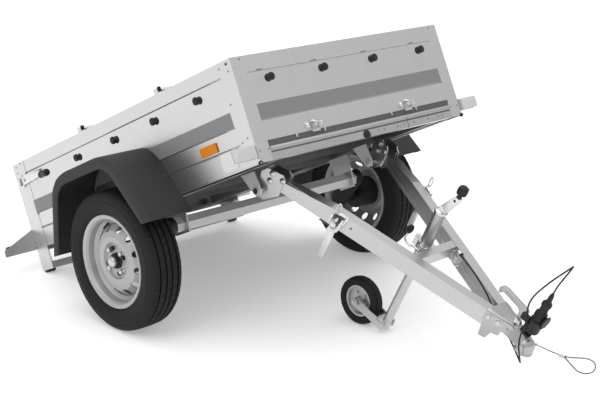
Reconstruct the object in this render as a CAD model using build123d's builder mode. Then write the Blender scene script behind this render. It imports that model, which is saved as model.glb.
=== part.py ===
from build123d import *
import os
import math

os.makedirs("parts", exist_ok=True)

# A small single-axle box trailer of galvanised steel, parked tipped back on two
# rear rollers, with its V drawbar folded down on to a jockey wheel.
# +X forward to the coupling, +Y left, +Z up, origin on the ground.

# ---------------------------------------------------------------- dimensions
TIP = 24.5                 # box floor, nose up from level (deg)
PITCH = 26.9               # drawbar, nose down from level (deg)
X_SHIFT = -263.359             # wheel centre forward of the origin

TYRE_R = 273.5             # 155/70 R13
TYRE_W = 150.0
WHEEL_Y = 666.0            # tyre centre plane, each side
RIM_SEAT_R = 165.0
RIM_LIP_R = 181.5
RIM_W = 128.0

FRONT_X = 779.0            # box frame: origin at the wheel centre
REAR_X = -798.0
HALF_W = 547.5
TOP_Z = 543.0
BOT_Z = 164.0
FLOOR_TOP = 208.0
FLOOR_T = 9.0
SHEET = 2.0
GROOVE = 3.0

FRONT_POST_Y = 60.0
FRONT_POST_X = 74.0
REAR_POST_X = 86.0
REAR_POST_Y = 50.0
POST_T = 3.0
POST_FOOT_Z = 66.0

HINGE_X = 493.0
HINGE_Z = 93.0
HINGE_PIN_R = 8.0
RUN_GAP = 0.1

ARM_W = 42.0               # drawbar tube, wide
ARM_H = 66.0               # and deep
ARM_WALL = 3.0
ARM_TOP = 100.0            # above the hinge axis, square to the drawbar
ARM_Y0 = 327.0             # outer edge at the hinge
ARM_SLOPE = 0.305          # closing in per mm forward
ARM_REAR = -14.0
ARM_FRONT = 955.0
ARM_TIP_GAP = 14.0         # half the way left between the tube ends
ARM_TAPER_END = 260.0
ARM_REAR_TOP = 68.0

BEAM_X = 124.0
BEAM_Z = 64.0
BEAM_AF = 56.0
BEAM_HALF = 500.0

JOCKEY_S = 536.0
JOCKEY_R = 24.0
JOCKEY_WHEEL_R = 95.0
JOCKEY_WHEEL_W = 50.0

# ------------------------------------------------------------------- frames
tip = math.radians(TIP)
pit = math.radians(PITCH)
yaw = math.atan(ARM_SLOPE)
SIDES = (("right", -1), ("left", 1))

BOX = Plane(origin=(X_SHIFT, 0, TYRE_R),
            x_dir=(math.cos(tip), 0, math.sin(tip)),
            z_dir=(-math.sin(tip), 0, math.cos(tip)))


def box_point(x, y, z):
    v = BOX.from_local_coords(Vector(x, y, z))
    return (v.X, v.Y, v.Z)


HINGE = box_point(HINGE_X, 0, HINGE_Z)
BAR = Plane(origin=HINGE,
            x_dir=(math.cos(pit), 0, -math.sin(pit)),
            z_dir=(math.sin(pit), 0, math.cos(pit)))


def bar_point(s, y, n):
    v = BAR.from_local_coords(Vector(s, y, n))
    return (v.X, v.Y, v.Z)


def box_plane(x, y, z, x_dir, z_dir):
    o = BOX.from_local_coords(Vector(x, y, z))
    ax = BOX.from_local_coords(Vector(*x_dir)) - BOX.origin
    az = BOX.from_local_coords(Vector(*z_dir)) - BOX.origin
    return Plane(origin=o, x_dir=ax, z_dir=az)


def bar_plane(s, y, n, x_dir, z_dir):
    o = BAR.from_local_coords(Vector(s, y, n))
    ax = BAR.from_local_coords(Vector(*x_dir)) - BAR.origin
    az = BAR.from_local_coords(Vector(*z_dir)) - BAR.origin
    return Plane(origin=o, x_dir=ax, z_dir=az)


def save(part, name):
    part.label = name
    export_step(part, "parts/" + name + ".step")


CX = Align.CENTER
LO = Align.MIN
HI = Align.MAX

# --------------------------------------------------------------- the box
with BuildPart(BOX) as floor_panel:
    with Locations(((744 + REAR_X + 30) / 2, 0, FLOOR_TOP)):
        Box(744 - REAR_X - 30, 2 * (HALF_W - POST_T), FLOOR_T, align=(CX, CX, HI))
save(floor_panel.part, "floor_panel")

SIDE_BEADS = (489.0, 310.0, 246.0)      # heights of the pressed beads
FRONT_BEADS = (482.0, 310.0)


def wall_line(z_top, z_bot, beads, depth, lip):
    """Section of a beaded sheet with folded lips; x is outward, y is up."""
    outer = [(-lip, z_top), (0, z_top)]
    inner = [(-lip, z_bot + SHEET), (-SHEET, z_bot + SHEET)]
    for b in beads:
        outer += [(0, b + depth), (-depth, b), (0, b - depth)]
    for b in reversed(beads):
        inner += [(-SHEET, b - depth - 1), (-SHEET - depth, b), (-SHEET, b + depth + 1)]
    outer += [(0, z_bot), (-lip, z_bot)]
    inner += [(-SHEET, z_top - SHEET), (-lip, z_top - SHEET)]
    return outer + inner


for side, s in SIDES:
    prof = box_plane(REAR_X + REAR_POST_X, s * HALF_W, 0, (0, s, 0), (s, 0, 0))
    span = FRONT_X - FRONT_POST_X - REAR_X - REAR_POST_X
    with BuildPart() as side_panel:
        with BuildSketch(prof):
            with BuildLine():
                Polyline(*wall_line(TOP_Z, BOT_Z, SIDE_BEADS, GROOVE, 24.0), close=True)
            make_face()
        extrude(amount=s * span)
    save(side_panel.part, "side_panel_" + side)

PANEL_HALF = HALF_W - FRONT_POST_Y
FRONT_PANEL_BOT = 236.0
with BuildPart() as front_panel:
    with BuildSketch(box_plane(FRONT_X, PANEL_HALF, 0, (1, 0, 0), (0, -1, 0))):
        with BuildLine():
            Polyline(*wall_line(TOP_Z, FRONT_PANEL_BOT, FRONT_BEADS, GROOVE, 24.0), close=True)
        make_face()
    extrude(amount=2 * PANEL_HALF)
save(front_panel.part, "front_panel")


def post(x_end, inward, leg_x, leg_y, z_foot):
    """Angle section standing at a corner; inward is the way in along X."""
    for s in (-1, 1):
        with Locations((x_end + inward * leg_x / 2, s * (HALF_W - POST_T / 2), z_foot)):
            Box(leg_x, POST_T, TOP_Z - z_foot, align=(CX, CX, LO))
        with Locations((x_end + inward * POST_T / 2, s * (HALF_W - leg_y / 2), z_foot)):
            Box(POST_T, leg_y, TOP_Z - z_foot, align=(CX, CX, LO))


with BuildPart(BOX) as corner_posts:
    post(FRONT_X, -1, FRONT_POST_X, FRONT_POST_Y, BOT_Z)
    post(REAR_X, 1, REAR_POST_X, REAR_POST_Y, POST_FOOT_Z)
save(corner_posts.part, "corner_posts")

FRONT_BEAM_TOP = 214.0
with BuildPart() as end_beams:
    with BuildSketch(box_plane(FRONT_X, PANEL_HALF, 0, (1, 0, 0), (0, -1, 0))):
        with BuildLine():
            Polyline((0, BOT_Z), (0, FRONT_BEAM_TOP), (-34, FRONT_BEAM_TOP),
                     (-34, FRONT_BEAM_TOP - 3), (-3, FRONT_BEAM_TOP - 3),
                     (-3, BOT_Z + 3), (-34, BOT_Z + 3), (-34, BOT_Z), close=True)
        make_face()
    extrude(amount=2 * PANEL_HALF)
    with BuildSketch(box_plane(REAR_X + POST_T, HALF_W - POST_T, 0, (1, 0, 0), (0, -1, 0))):
        with BuildLine():
            Polyline((0, 150), (0, 199), (40, 199), (40, 196), (3, 196), (3, 153),
                     (40, 153), (40, 150), close=True)
        make_face()
    extrude(amount=2 * (HALF_W - POST_T))
save(end_beams.part, "end_beams")

RAIL_Y = 435.0
RAIL_W = 40.0
RAIL_TOP = FLOOR_TOP - FLOOR_T
RAIL_H = RAIL_TOP - BOT_Z
with BuildPart(BOX) as frame_rails:
    for s in (-1, 1):
        with Locations(((745 + REAR_X + 43) / 2, s * RAIL_Y, BOT_Z)):
            Box(745 - REAR_X - 43, RAIL_W, RAIL_H, align=(CX, CX, LO))
            Box(745 - REAR_X - 43, RAIL_W - 5, RAIL_H - 5, align=(CX, CX, CX),
                mode=Mode.PRIVATE)
        with Locations(((745 + REAR_X + 43) / 2, s * RAIL_Y, BOT_Z + RAIL_H / 2)):
            Box(760 * 2, RAIL_W - 5, RAIL_H - 5, mode=Mode.SUBTRACT)
save(frame_rails.part, "frame_rails")

CROSS = ((-175.0, 40.0), (124.0, 40.0), (416.0, 40.0))      # middle, width
with BuildPart(BOX) as cross_members:
    for x, w in CROSS:
        with Locations((x, 0, BOT_Z)):
            Box(w, 2 * (RAIL_Y - RAIL_W / 2), RAIL_H, align=(CX, CX, LO))
        with Locations((x, 0, BOT_Z)):
            Box(w - 6, 2 * RAIL_Y, RAIL_H - 3, align=(CX, CX, LO), mode=Mode.SUBTRACT)
save(cross_members.part, "cross_members")

BAR_TUBE_Z = 80.0
with BuildPart(BOX) as rear_lower_tube:
    with Locations((REAR_X + 62, 0, BAR_TUBE_Z)):
        Box(30, 2 * (HALF_W - POST_T), 30)
        Box(24, 2 * HALF_W + 10, 24, mode=Mode.SUBTRACT)
save(rear_lower_tube.part, "rear_lower_tube")

FOOT_R = 16.0
foot_x = REAR_X + 21.0
foot_z = (FOOT_R - TYRE_R - foot_x * math.sin(tip)) / math.cos(tip)
with BuildPart() as parking_feet:
    for s in (-1, 1):
        with BuildSketch(box_plane(foot_x, s * (HALF_W - POST_T), foot_z, (1, 0, 0), (0, -s, 0))):
            Circle(FOOT_R)
        extrude(amount=40)
save(parking_feet.part, "parking_feet")

# hinge lugs and their pins
LUGS = ((350.0, 356.0), (250.0, 256.0))
with BuildPart() as hinge_lugs:
    for s in (-1, 1):
        for y0, y1 in LUGS:
            with BuildSketch(box_plane(HINGE_X, s * y0, HINGE_Z, (1, 0, 0), (0, -1, 0))):
                with BuildLine():
                    Polyline((-63, BOT_Z - HINGE_Z), (14, BOT_Z - HINGE_Z), (22, 0),
                             (12, -20), (-12, -20), (-24, -6), close=True)
                make_face()
                Circle(HINGE_PIN_R, mode=Mode.SUBTRACT)
            extrude(amount=-s * (y1 - y0))
save(hinge_lugs.part, "hinge_lugs")

with BuildPart() as hinge_pins:
    for s in (-1, 1):
        with BuildSketch(box_plane(HINGE_X, s * 246, HINGE_Z, (1, 0, 0), (0, -1, 0))):
            Circle(HINGE_PIN_R)
        extrude(amount=-s * 116)
        for y0 in (242.0, 356.0):
            with BuildSketch(box_plane(HINGE_X, s * y0, HINGE_Z, (1, 0, 0), (0, -1, 0))):
                RegularPolygon(13, 6)
            extrude(amount=-s * 8)
save(hinge_pins.part, "hinge_pins")

# ---------------------------------------------------------------- axle
with BuildPart() as axle_beam:
    with BuildSketch(box_plane(BEAM_X, BEAM_HALF, BEAM_Z, (1, 0, 0), (0, -1, 0))):
        RegularPolygon(BEAM_AF / 2, 6, major_radius=False)
    extrude(amount=2 * BEAM_HALF)
save(axle_beam.part, "axle_beam")

with BuildPart() as axle_brackets:
    for s in (-1, 1):
        y0 = RAIL_Y + RAIL_W / 2
        with BuildSketch(box_plane(BEAM_X, s * y0, BEAM_Z, (1, 0, 0), (0, -1, 0))):
            with BuildLine():
                Polyline((-60, RAIL_TOP - 4 - BEAM_Z), (60, RAIL_TOP - 4 - BEAM_Z), (60, 90),
                         (44, -38), (-44, -38), (-60, 90), close=True)
            make_face()
            RegularPolygon(BEAM_AF / 2, 6, major_radius=False, mode=Mode.SUBTRACT)
        extrude(amount=-s * 6)
save(axle_brackets.part, "axle_brackets")

STUB_R = 17.0
with BuildPart() as swing_arms:
    for side, s in SIDES:
        with BuildSketch(box_plane(0, s * BEAM_HALF, 0, (1, 0, 0), (0, -1, 0))):
            with Locations((BEAM_X, BEAM_Z)):
                Circle(36)
            Circle(34)
            make_hull()
        extrude(amount=-s * 30)
        with BuildSketch(box_plane(0, s * (BEAM_HALF + 30), 0, (1, 0, 0), (0, -1, 0))):
            Circle(26)
        extrude(amount=-s * 60)
        with BuildSketch(box_plane(0, s * (BEAM_HALF + 30), 0, (1, 0, 0), (0, -1, 0))):
            Circle(STUB_R)
        extrude(amount=-s * 150)
save(swing_arms.part, "swing_arms")

# ---------------------------------------------------------------- wheels
TYRE_PTS = ((165.5, -45.0), (170.5, -51.0), (181.0, -55.0), (184.0, -58.0), (185.0, -64.0),
            (192.0, -69.0), (215.0, -75.0), (247.0, -71.0), (264.0, -62.0), (270.5, -50.0),
            (273.5, -20.0), (273.5, 20.0), (270.5, 50.0), (264.0, 62.0), (247.0, 71.0),
            (215.0, 75.0), (192.0, 69.0), (185.0, 64.0), (184.0, 58.0), (181.0, 55.0),
            (170.5, 51.0), (165.5, 45.0))
RIM_PTS = ((181.5, -64.0), (183.0, -61.0), (181.0, -57.0), (170.0, -55.0), (165.0, -49.0),
           (164.0, -26.0), (146.0, -14.0), (146.0, 14.0), (160.0, 26.0), (165.0, 49.0),
           (170.0, 55.0), (181.0, 57.0), (183.0, 61.0), (181.5, 64.0), (167.0, 60.0),
           (161.0, 51.0), (156.0, 29.0), (142.0, 17.0), (142.0, -17.0), (156.0, -29.0),
           (161.0, -51.0), (167.0, -60.0))
DISC_PTS = ((20.0, 30.0), (70.0, 30.0), (76.0, 40.0), (92.5, 45.0), (113.6, 38.6),
            (139.2, 8.6), (142.0, 4.0), (142.0, 12.0), (116.0, 42.0), (93.0, 49.0),
            (72.0, 45.0), (66.0, 35.0), (20.0, 35.0))
for side, s in SIDES:
    hub_plane = box_plane(0, s * WHEEL_Y, 0, (1, 0, 0), (0, -1, 0))
    turn = box_plane(0, s * WHEEL_Y, 0, (1, 0, 0), (0, 0, s))     # y is outboard
    spin = Axis(turn.origin, turn.y_dir)
    with BuildPart() as tyre:
        with BuildSketch(turn):
            with BuildLine():
                Polyline(*TYRE_PTS)
                Polyline((165.5, 45.0), (166.5, 38.0), (182.0, 46.0), (210.0, 66.0),
                         (246.0, 60.0), (258.0, 45.0), (262.0, 0.0), (258.0, -45.0),
                         (246.0, -60.0), (210.0, -66.0), (182.0, -46.0), (166.5, -38.0),
                         (165.5, -45.0))
            make_face()
        revolve(axis=spin)
        for g in (-38.0, -13.0, 13.0, 38.0):
            with BuildSketch(turn):
                with Locations((271.5, g)):
                    Rectangle(9, 6)
            revolve(axis=spin, mode=Mode.SUBTRACT)
    save(tyre.part, "tyre_" + side)
    with BuildPart() as rim:
        with BuildSketch(turn):
            with BuildLine():
                Polyline(*RIM_PTS, close=True)
            make_face()
        revolve(axis=spin)
        with BuildSketch(turn):
            with BuildLine():
                Polyline(*DISC_PTS, close=True)
            make_face()
        revolve(axis=spin)
        with BuildSketch(hub_plane.offset(0)):
            with PolarLocations(125, 12):
                Circle(13.0)
        extrude(amount=80, both=True, mode=Mode.SUBTRACT)
    save(rim.part, "rim_" + side)
    with BuildPart() as hub:
        with BuildSketch(turn):
            with BuildLine():
                Polyline((STUB_R + RUN_GAP, -60), (62, -60), (66, 22), (66, 30), (20, 30),
                         (20, 58), (14, 66), (0, 66), (0, 62), (STUB_R - 2, 60),
                         (STUB_R + RUN_GAP, 56), close=True)
            make_face()
        revolve(axis=spin)
        with BuildSketch(hub_plane.offset(-s * 35)):
            with PolarLocations(50, 4):
                RegularPolygon(9, 6)
        extrude(amount=-s * 12)
    save(hub.part, "hub_" + side)

# ---------------------------------------------------------------- fenders
FENDER = ((-347, 92), (-223, 339), (-171, 376), (-118, 387), (118, 387), (171, 376),
          (220, 337), (335, 92))
FENDER_IN = ((-341, 92), (-219, 335), (-169, 371), (-117, 382), (117, 382), (169, 371),
             (216, 333), (329, 92))
ARCH = ((-307, 92), (-185, 313), (-141, 336), (141, 336), (185, 313), (300, 92))
FENDER_OUT_Y = 756.0
for side, s in SIDES:
    with BuildPart() as fender:
        with BuildSketch(box_plane(0, s * HALF_W, 0, (1, 0, 0), (0, -1, 0))):
            with BuildLine():
                Polyline(*FENDER, *reversed(FENDER_IN), close=True)
            make_face()
        extrude(amount=-s * (FENDER_OUT_Y - HALF_W))
        with BuildSketch(box_plane(0, s * (FENDER_OUT_Y - 4), 0, (1, 0, 0), (0, -1, 0))):
            with BuildLine():
                Polyline(*FENDER, *reversed(ARCH), close=True)
            make_face()
        extrude(amount=-s * 4)
    save(fender.part, "fender_" + side)

# ---------------------------------------------------------------- box fittings
with BuildPart(BOX) as tarp_bows:
    for x in (322.0, -232.0):
        with Locations((x, 0, TOP_Z + 11)):
            Cylinder(10, 2 * (HALF_W - 14), rotation=(90, 0, 0))
        for s in (-1, 1):
            with Locations((x, s * (HALF_W - 14), TOP_Z)):
                Box(26, 16, 21, align=(CX, CX, LO))
save(tarp_bows.part, "tarp_bows")

KNOB_R = 15.0
SIDE_KNOBS = (-270.0, 9.0, 286.0, 563.0)
KNOB_Z = 451.0
FRONT_KNOBS = (-402.0, -135.0, 132.0, 402.0)
with BuildPart() as tarp_knobs:
    for s in (-1, 1):
        for x in SIDE_KNOBS:
            for start, r, length in ((0, KNOB_R, 7), (7, 9, 8), (15, KNOB_R, 11)):
                with BuildSketch(box_plane(x, s * (HALF_W + start), KNOB_Z, (1, 0, 0), (0, -1, 0))):
                    Circle(r)
                extrude(amount=-s * length)
    for y in FRONT_KNOBS:
        for start, r, length in ((0, KNOB_R, 7), (7, 9, 8), (15, KNOB_R, 11)):
            with BuildSketch(box_plane(FRONT_X + start, y, KNOB_Z, (0, 1, 0), (1, 0, 0))):
                Circle(r)
            extrude(amount=length)
save(tarp_knobs.part, "tarp_knobs")

with BuildPart(BOX) as front_markers:
    for s in (-1, 1):
        with Locations((FRONT_X - 2, s * (HALF_W + 55), 206)):
            Box(26, 90, 46)
        with Locations((FRONT_X - 13, s * HALF_W, 206)):
            Box(4, 12, 40, align=(CX, LO if s > 0 else HI, CX))
save(front_markers.part, "front_markers")

with BuildPart() as lamp_brackets:
    for s in (-1, 1):
        with BuildSketch(box_plane(REAR_X - 3, 0, 0, (0, s, 0), (s, 0, 0))):
            with BuildLine():
                Polyline((502, 252), (549, 252), (700, 192), (703, 163), (502, 163), close=True)
            make_face()
        extrude(amount=s * 3)
save(lamp_brackets.part, "lamp_brackets")

with BuildPart(BOX) as rear_lamps:
    for s in (-1, 1):
        with Locations((REAR_X - 3, s * 618, 186)):
            Box(34, 120, 42, align=(HI, CX, CX))
save(rear_lamps.part, "rear_lamps")

with BuildPart(BOX) as side_reflectors:
    for s in (-1, 1):
        with Locations((532, s * HALF_W, 272)):
            Box(96, 7, 36, align=(CX, LO if s > 0 else HI, CX))
save(side_reflectors.part, "side_reflectors")

with BuildPart(BOX) as data_plate:                # blank plate on the right side panel
    with Locations((621.5, -HALF_W, 208.5)):
        Box(89, 2, 67, align=(CX, HI, CX))
save(data_plate.part, "data_plate")

EYE_Y = 251.0
EYE_Z = 252.0
EYE_R = 8.0
EYE_W = 12.0
with BuildPart(BOX) as lashing_eyes:
    for s in (-1, 1):
        with Locations((FRONT_X, s * EYE_Y, EYE_Z)):
            Box(4, 40, 46, align=(LO, CX, CX))
        with Locations((FRONT_X + 4, s * EYE_Y, EYE_Z)):
            Box(28, EYE_W, 30, align=(LO, CX, CX))
        with Locations((FRONT_X + 17, s * EYE_Y, EYE_Z)):
            Cylinder(EYE_R, EYE_W + 4, rotation=(90, 0, 0), mode=Mode.SUBTRACT)
save(lashing_eyes.part, "lashing_eyes")

with BuildPart(BOX) as gate_latches:
    for s in (-1, 1):
        out = LO if s > 0 else HI
        with Locations((-748, s * HALF_W, 458)):
            Box(52, 5, 40, align=(CX, out, CX))
        with Locations((-668, s * (HALF_W + 5), 466)):
            Box(190, 8, 26, align=(CX, out, CX))
        with Locations((-560, s * (HALF_W + 2), 466)):
            Box(44, 22, 32, align=(CX, out, CX))
save(gate_latches.part, "gate_latches")

# ---------------------------------------------------------------- tailgate
GATE_HALF = HALF_W - REAR_POST_Y - 6
GATE_BOT = 206.0
GATE_AXIS_X = REAR_X - 9.0
GATE_AXIS_Z = 194.0
with BuildPart() as tailgate:
    with BuildSketch(box_plane(REAR_X, -GATE_HALF, 0, (-1, 0, 0), (0, 1, 0))):
        with BuildLine():
            Polyline(*wall_line(TOP_Z, GATE_BOT, (489.0, 310.0), GROOVE, 22.0), close=True)
        make_face()
    extrude(amount=2 * GATE_HALF)
save(tailgate.part, "tailgate")

with BuildPart() as gate_hinge_leaves:
    for y in (-330.0, 330.0):
        with BuildSketch(box_plane(GATE_AXIS_X, y - 20, GATE_AXIS_Z, (1, 0, 0), (0, -1, 0))):
            Circle(8)
            with Locations((4.5, 22)):
                Rectangle(9, 44)
            Circle(4 + RUN_GAP, mode=Mode.SUBTRACT)
        extrude(amount=-40)
save(gate_hinge_leaves.part, "gate_hinge_leaves")

with BuildPart() as gate_hinge_pins:
    for y in (-330.0, 330.0):
        with BuildSketch(box_plane(GATE_AXIS_X, y - 48, GATE_AXIS_Z, (1, 0, 0), (0, -1, 0))):
            Circle(4)
        extrude(amount=-96)
        for y0 in (y - 48, y + 28):
            with BuildSketch(box_plane(GATE_AXIS_X, y0, GATE_AXIS_Z, (1, 0, 0), (0, -1, 0))):
                Circle(8)
                with Locations((6, -10)):
                    Rectangle(12, 26)
            extrude(amount=-20)
save(gate_hinge_pins.part, "gate_hinge_pins")

# ---------------------------------------------------------------- drawbar
for side, s in SIDES:
    ax = (math.cos(yaw), -s * math.sin(yaw), 0)
    side_dir = (s * math.sin(yaw), math.cos(yaw), 0)
    origin = bar_plane(0, s * ARM_Y0, 0, ax, tuple(-c for c in side_dir))
    k = 1 / math.cos(yaw)
    with BuildPart() as arm:
        with BuildSketch(origin):
            with BuildLine():
                Polyline((ARM_REAR * k, ARM_REAR_TOP), (ARM_TAPER_END * k, ARM_TOP),
                         (ARM_FRONT * k, ARM_TOP), (ARM_FRONT * k, ARM_TOP - ARM_H),
                         (ARM_REAR * k, ARM_TOP - ARM_H), close=True)
            make_face()
        extrude(amount=s * ARM_W)
        with BuildSketch(origin.offset(s * ARM_WALL)):
            with BuildLine():
                Polyline((ARM_REAR * k - 9, ARM_REAR_TOP - ARM_WALL - 1),
                         (ARM_TAPER_END * k, ARM_TOP - ARM_WALL),
                         (ARM_FRONT * k + 5, ARM_TOP - ARM_WALL),
                         (ARM_FRONT * k + 5, ARM_TOP - ARM_H + ARM_WALL),
                         (ARM_REAR * k - 9, ARM_TOP - ARM_H + ARM_WALL), close=True)
            make_face()
        extrude(amount=s * (ARM_W - 2 * ARM_WALL), mode=Mode.SUBTRACT)
        with BuildSketch(BAR.offset(ARM_TOP - ARM_H - 10)):            # mitred at the middle
            with Locations((900, -s * (100 - ARM_TIP_GAP))):
                Rectangle(200, 200)
        extrude(amount=ARM_H + 20, mode=Mode.SUBTRACT)
    save(arm.part, "drawbar_arm_" + side)

with BuildPart() as root_plates:
    for s in (-1, 1):
        ax = (math.cos(yaw), -s * math.sin(yaw), 0)
        side_dir = (s * math.sin(yaw), math.cos(yaw), 0)
        for off in (-5.0, ARM_W):
            pl = bar_plane(0, s * ARM_Y0, 0, ax, tuple(-c for c in side_dir)).offset(s * off)
            with BuildSketch(pl):
                with BuildLine():
                    Polyline((-27, 72), (-8, 97), (56, 106), (70, 94), (70, 16), (20, -34),
                             (-6, -34), (-22, -4), close=True)
                make_face()
            extrude(amount=s * 5)
        with BuildSketch(bar_plane(0, s * 200, 0, (1, 0, 0), (0, -1, 0))):
            Circle(HINGE_PIN_R + RUN_GAP)
        extrude(amount=-s * 200, mode=Mode.SUBTRACT)
save(root_plates.part, "arm_root_plates")

CROSS_S0, CROSS_S1 = 568.0, 602.0


def inner_y(s_at):
    return ARM_Y0 - ARM_W / math.cos(yaw) - ARM_SLOPE * s_at


with BuildPart(BAR) as bar_cross:
    with BuildSketch(BAR.offset(52)):
        with BuildLine():
            Polyline((CROSS_S0, -inner_y(CROSS_S0)), (CROSS_S1, -inner_y(CROSS_S1)),
                     (CROSS_S1, inner_y(CROSS_S1)), (CROSS_S0, inner_y(CROSS_S0)), close=True)
        make_face()
    extrude(amount=46)
save(bar_cross.part, "bar_cross_member")

LEG_R = 17.0
with BuildPart(BAR) as jockey_clamp:
    with BuildSketch(BAR.offset(54)):
        with Locations((JOCKEY_S, 0)):
            Circle(31)
            with Locations((16, 0)):
                Rectangle(32, 44)
            Circle(JOCKEY_R, mode=Mode.SUBTRACT)
        with Locations((JOCKEY_S - 36, 0)):
            Rectangle(26, 18)
        with Locations((JOCKEY_S, 0)):
            Circle(JOCKEY_R, mode=Mode.SUBTRACT)
    extrude(amount=40)
save(jockey_clamp.part, "jockey_clamp")

JOCKEY_TOP = 236.0
TUBE_LOW = -40.0
with BuildPart(BAR) as jockey_tube:
    with BuildSketch(BAR.offset(TUBE_LOW)):
        with Locations((JOCKEY_S, 0)):
            Circle(JOCKEY_R)
            Circle(LEG_R + RUN_GAP, mode=Mode.SUBTRACT)
    extrude(amount=JOCKEY_TOP - TUBE_LOW)
    with BuildSketch(BAR.offset(JOCKEY_TOP)):
        with Locations((JOCKEY_S, 0)):
            Circle(JOCKEY_R)
    extrude(amount=6)
save(jockey_tube.part, "jockey_tube")

CRANK_S, CRANK_N = 50.0, 110.0          # from the tube's top to the grip
with BuildPart(BAR) as jockey_crank:
    with BuildSketch(BAR.offset(JOCKEY_TOP + 6)):
        with Locations((JOCKEY_S, 0)):
            Circle(9)
    extrude(amount=16)
    with BuildSketch(bar_plane(JOCKEY_S, 6, JOCKEY_TOP + 6, (1, 0, 0), (0, -1, 0))):
        with BuildLine():
            Polyline((-9, 6), (-9, 18), (CRANK_S - 7, CRANK_N - 16), (CRANK_S + 7, CRANK_N - 16),
                     (CRANK_S + 7, CRANK_N - 28), (11, 6), close=True)
        make_face()
    extrude(amount=12)
save(jockey_crank.part, "jockey_crank")

with BuildPart(BAR) as crank_grip:
    with BuildSketch(BAR.offset(JOCKEY_TOP + 6 + CRANK_N - 16)):
        with Locations((JOCKEY_S + CRANK_S, 0)):
            Circle(7)
    extrude(amount=14)
    with Locations((JOCKEY_S + CRANK_S - 6, 0, JOCKEY_TOP + CRANK_N + 16)):
        Sphere(20)
save(crank_grip.part, "crank_grip")

FORK_TOP = -296.0
LEG_TOP = 90.0
with BuildPart(BAR) as jockey_leg:
    with BuildSketch(BAR.offset(FORK_TOP)):
        with Locations((JOCKEY_S, 0)):
            Circle(LEG_R)
            Circle(LEG_R - 3, mode=Mode.SUBTRACT)
    extrude(amount=LEG_TOP - FORK_TOP)
    with BuildSketch(BAR.offset(FORK_TOP - 16)):
        with Locations((JOCKEY_S, 0)):
            Circle(8)
    extrude(amount=16)
    with BuildSketch(BAR.offset(FORK_TOP)):
        with Locations((JOCKEY_S, 0)):
            Circle(LEG_R)
    extrude(amount=6)
save(jockey_leg.part, "jockey_leg")

TRAIL = 143.0
wheel_s = JOCKEY_S - TRAIL
wheel_n = (JOCKEY_WHEEL_R - HINGE[2] + wheel_s * math.sin(pit)) / math.cos(pit)
with BuildPart(BAR) as jockey_fork:
    with BuildSketch(BAR.offset(FORK_TOP - 14)):
        with Locations((JOCKEY_S, 0)):
            Circle(26)
            Circle(8 + RUN_GAP, mode=Mode.SUBTRACT)
    extrude(amount=12)
    with BuildSketch(BAR.offset(FORK_TOP - 14)):
        with Locations((JOCKEY_S - 10, 0)):
            Rectangle(40, 78)
        with Locations((JOCKEY_S, 0)):
            Circle(8 + RUN_GAP, mode=Mode.SUBTRACT)
    extrude(amount=6)
    for s in (-1, 1):
        with BuildSketch(bar_plane(0, s * 34, 0, (1, 0, 0), (0, -1, 0))):
            with BuildLine():
                Polyline((JOCKEY_S + 10, FORK_TOP - 8), (JOCKEY_S - 30, FORK_TOP - 8),
                         (wheel_s - 12, wheel_n + 16), (wheel_s - 16, wheel_n - 8),
                         (wheel_s, wheel_n - 18), (JOCKEY_S + 10, FORK_TOP - 40), close=True)
            make_face()
        extrude(amount=-s * 5)
    with BuildSketch(bar_plane(wheel_s, -42, wheel_n, (1, 0, 0), (0, -1, 0))):
        Circle(7)
    extrude(amount=-84)
save(jockey_fork.part, "jockey_fork")

jp = bar_plane(wheel_s, 0, wheel_n, (1, 0, 0), (0, 0, 1))
jspin = Axis(jp.origin, jp.y_dir)
with BuildPart() as jockey_tyre:
    with BuildSketch(jp):
        with BuildLine():
            Polyline((62, -18), (68, -23), (84, -25), (92, -20), (95, -8), (95, 8), (92, 20),
                     (84, 25), (68, 23), (62, 18), close=True)
        make_face()
    revolve(axis=jspin)
save(jockey_tyre.part, "jockey_tyre")
with BuildPart() as jockey_rim:
    with BuildSketch(jp):
        with BuildLine():
            Polyline((7 + RUN_GAP, -28), (16, -28), (18, -8), (50, -5), (56, -18), (62, -18),
                     (62, 18), (56, 18), (50, 5), (18, 8), (16, 28), (7 + RUN_GAP, 28), close=True)
        make_face()
    revolve(axis=jspin)
save(jockey_rim.part, "jockey_rim")

LOCK_T = 311.0                           # along the tube, from the hinge
with BuildPart() as bar_locks:
    for s in (-1, 1):
        ax = (math.cos(yaw), -s * math.sin(yaw), 0)
        side_dir = (s * math.sin(yaw), math.cos(yaw), 0)
        face = bar_plane(0, s * ARM_Y0, 0, ax, tuple(-c for c in side_dir))
        t = LOCK_T
        with BuildSketch(face):
            with Locations((t + 10, 74)):
                Rectangle(60, 46)
        extrude(amount=-s * 26)
        with BuildSketch(face.offset(-s * 9)):
            with Locations((t, -24)):
                Rectangle(28, 150)
            with Locations((t - 5, 106)):
                Rectangle(12, 18)
        extrude(amount=-s * 8)
save(bar_locks.part, "bar_locks")

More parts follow.
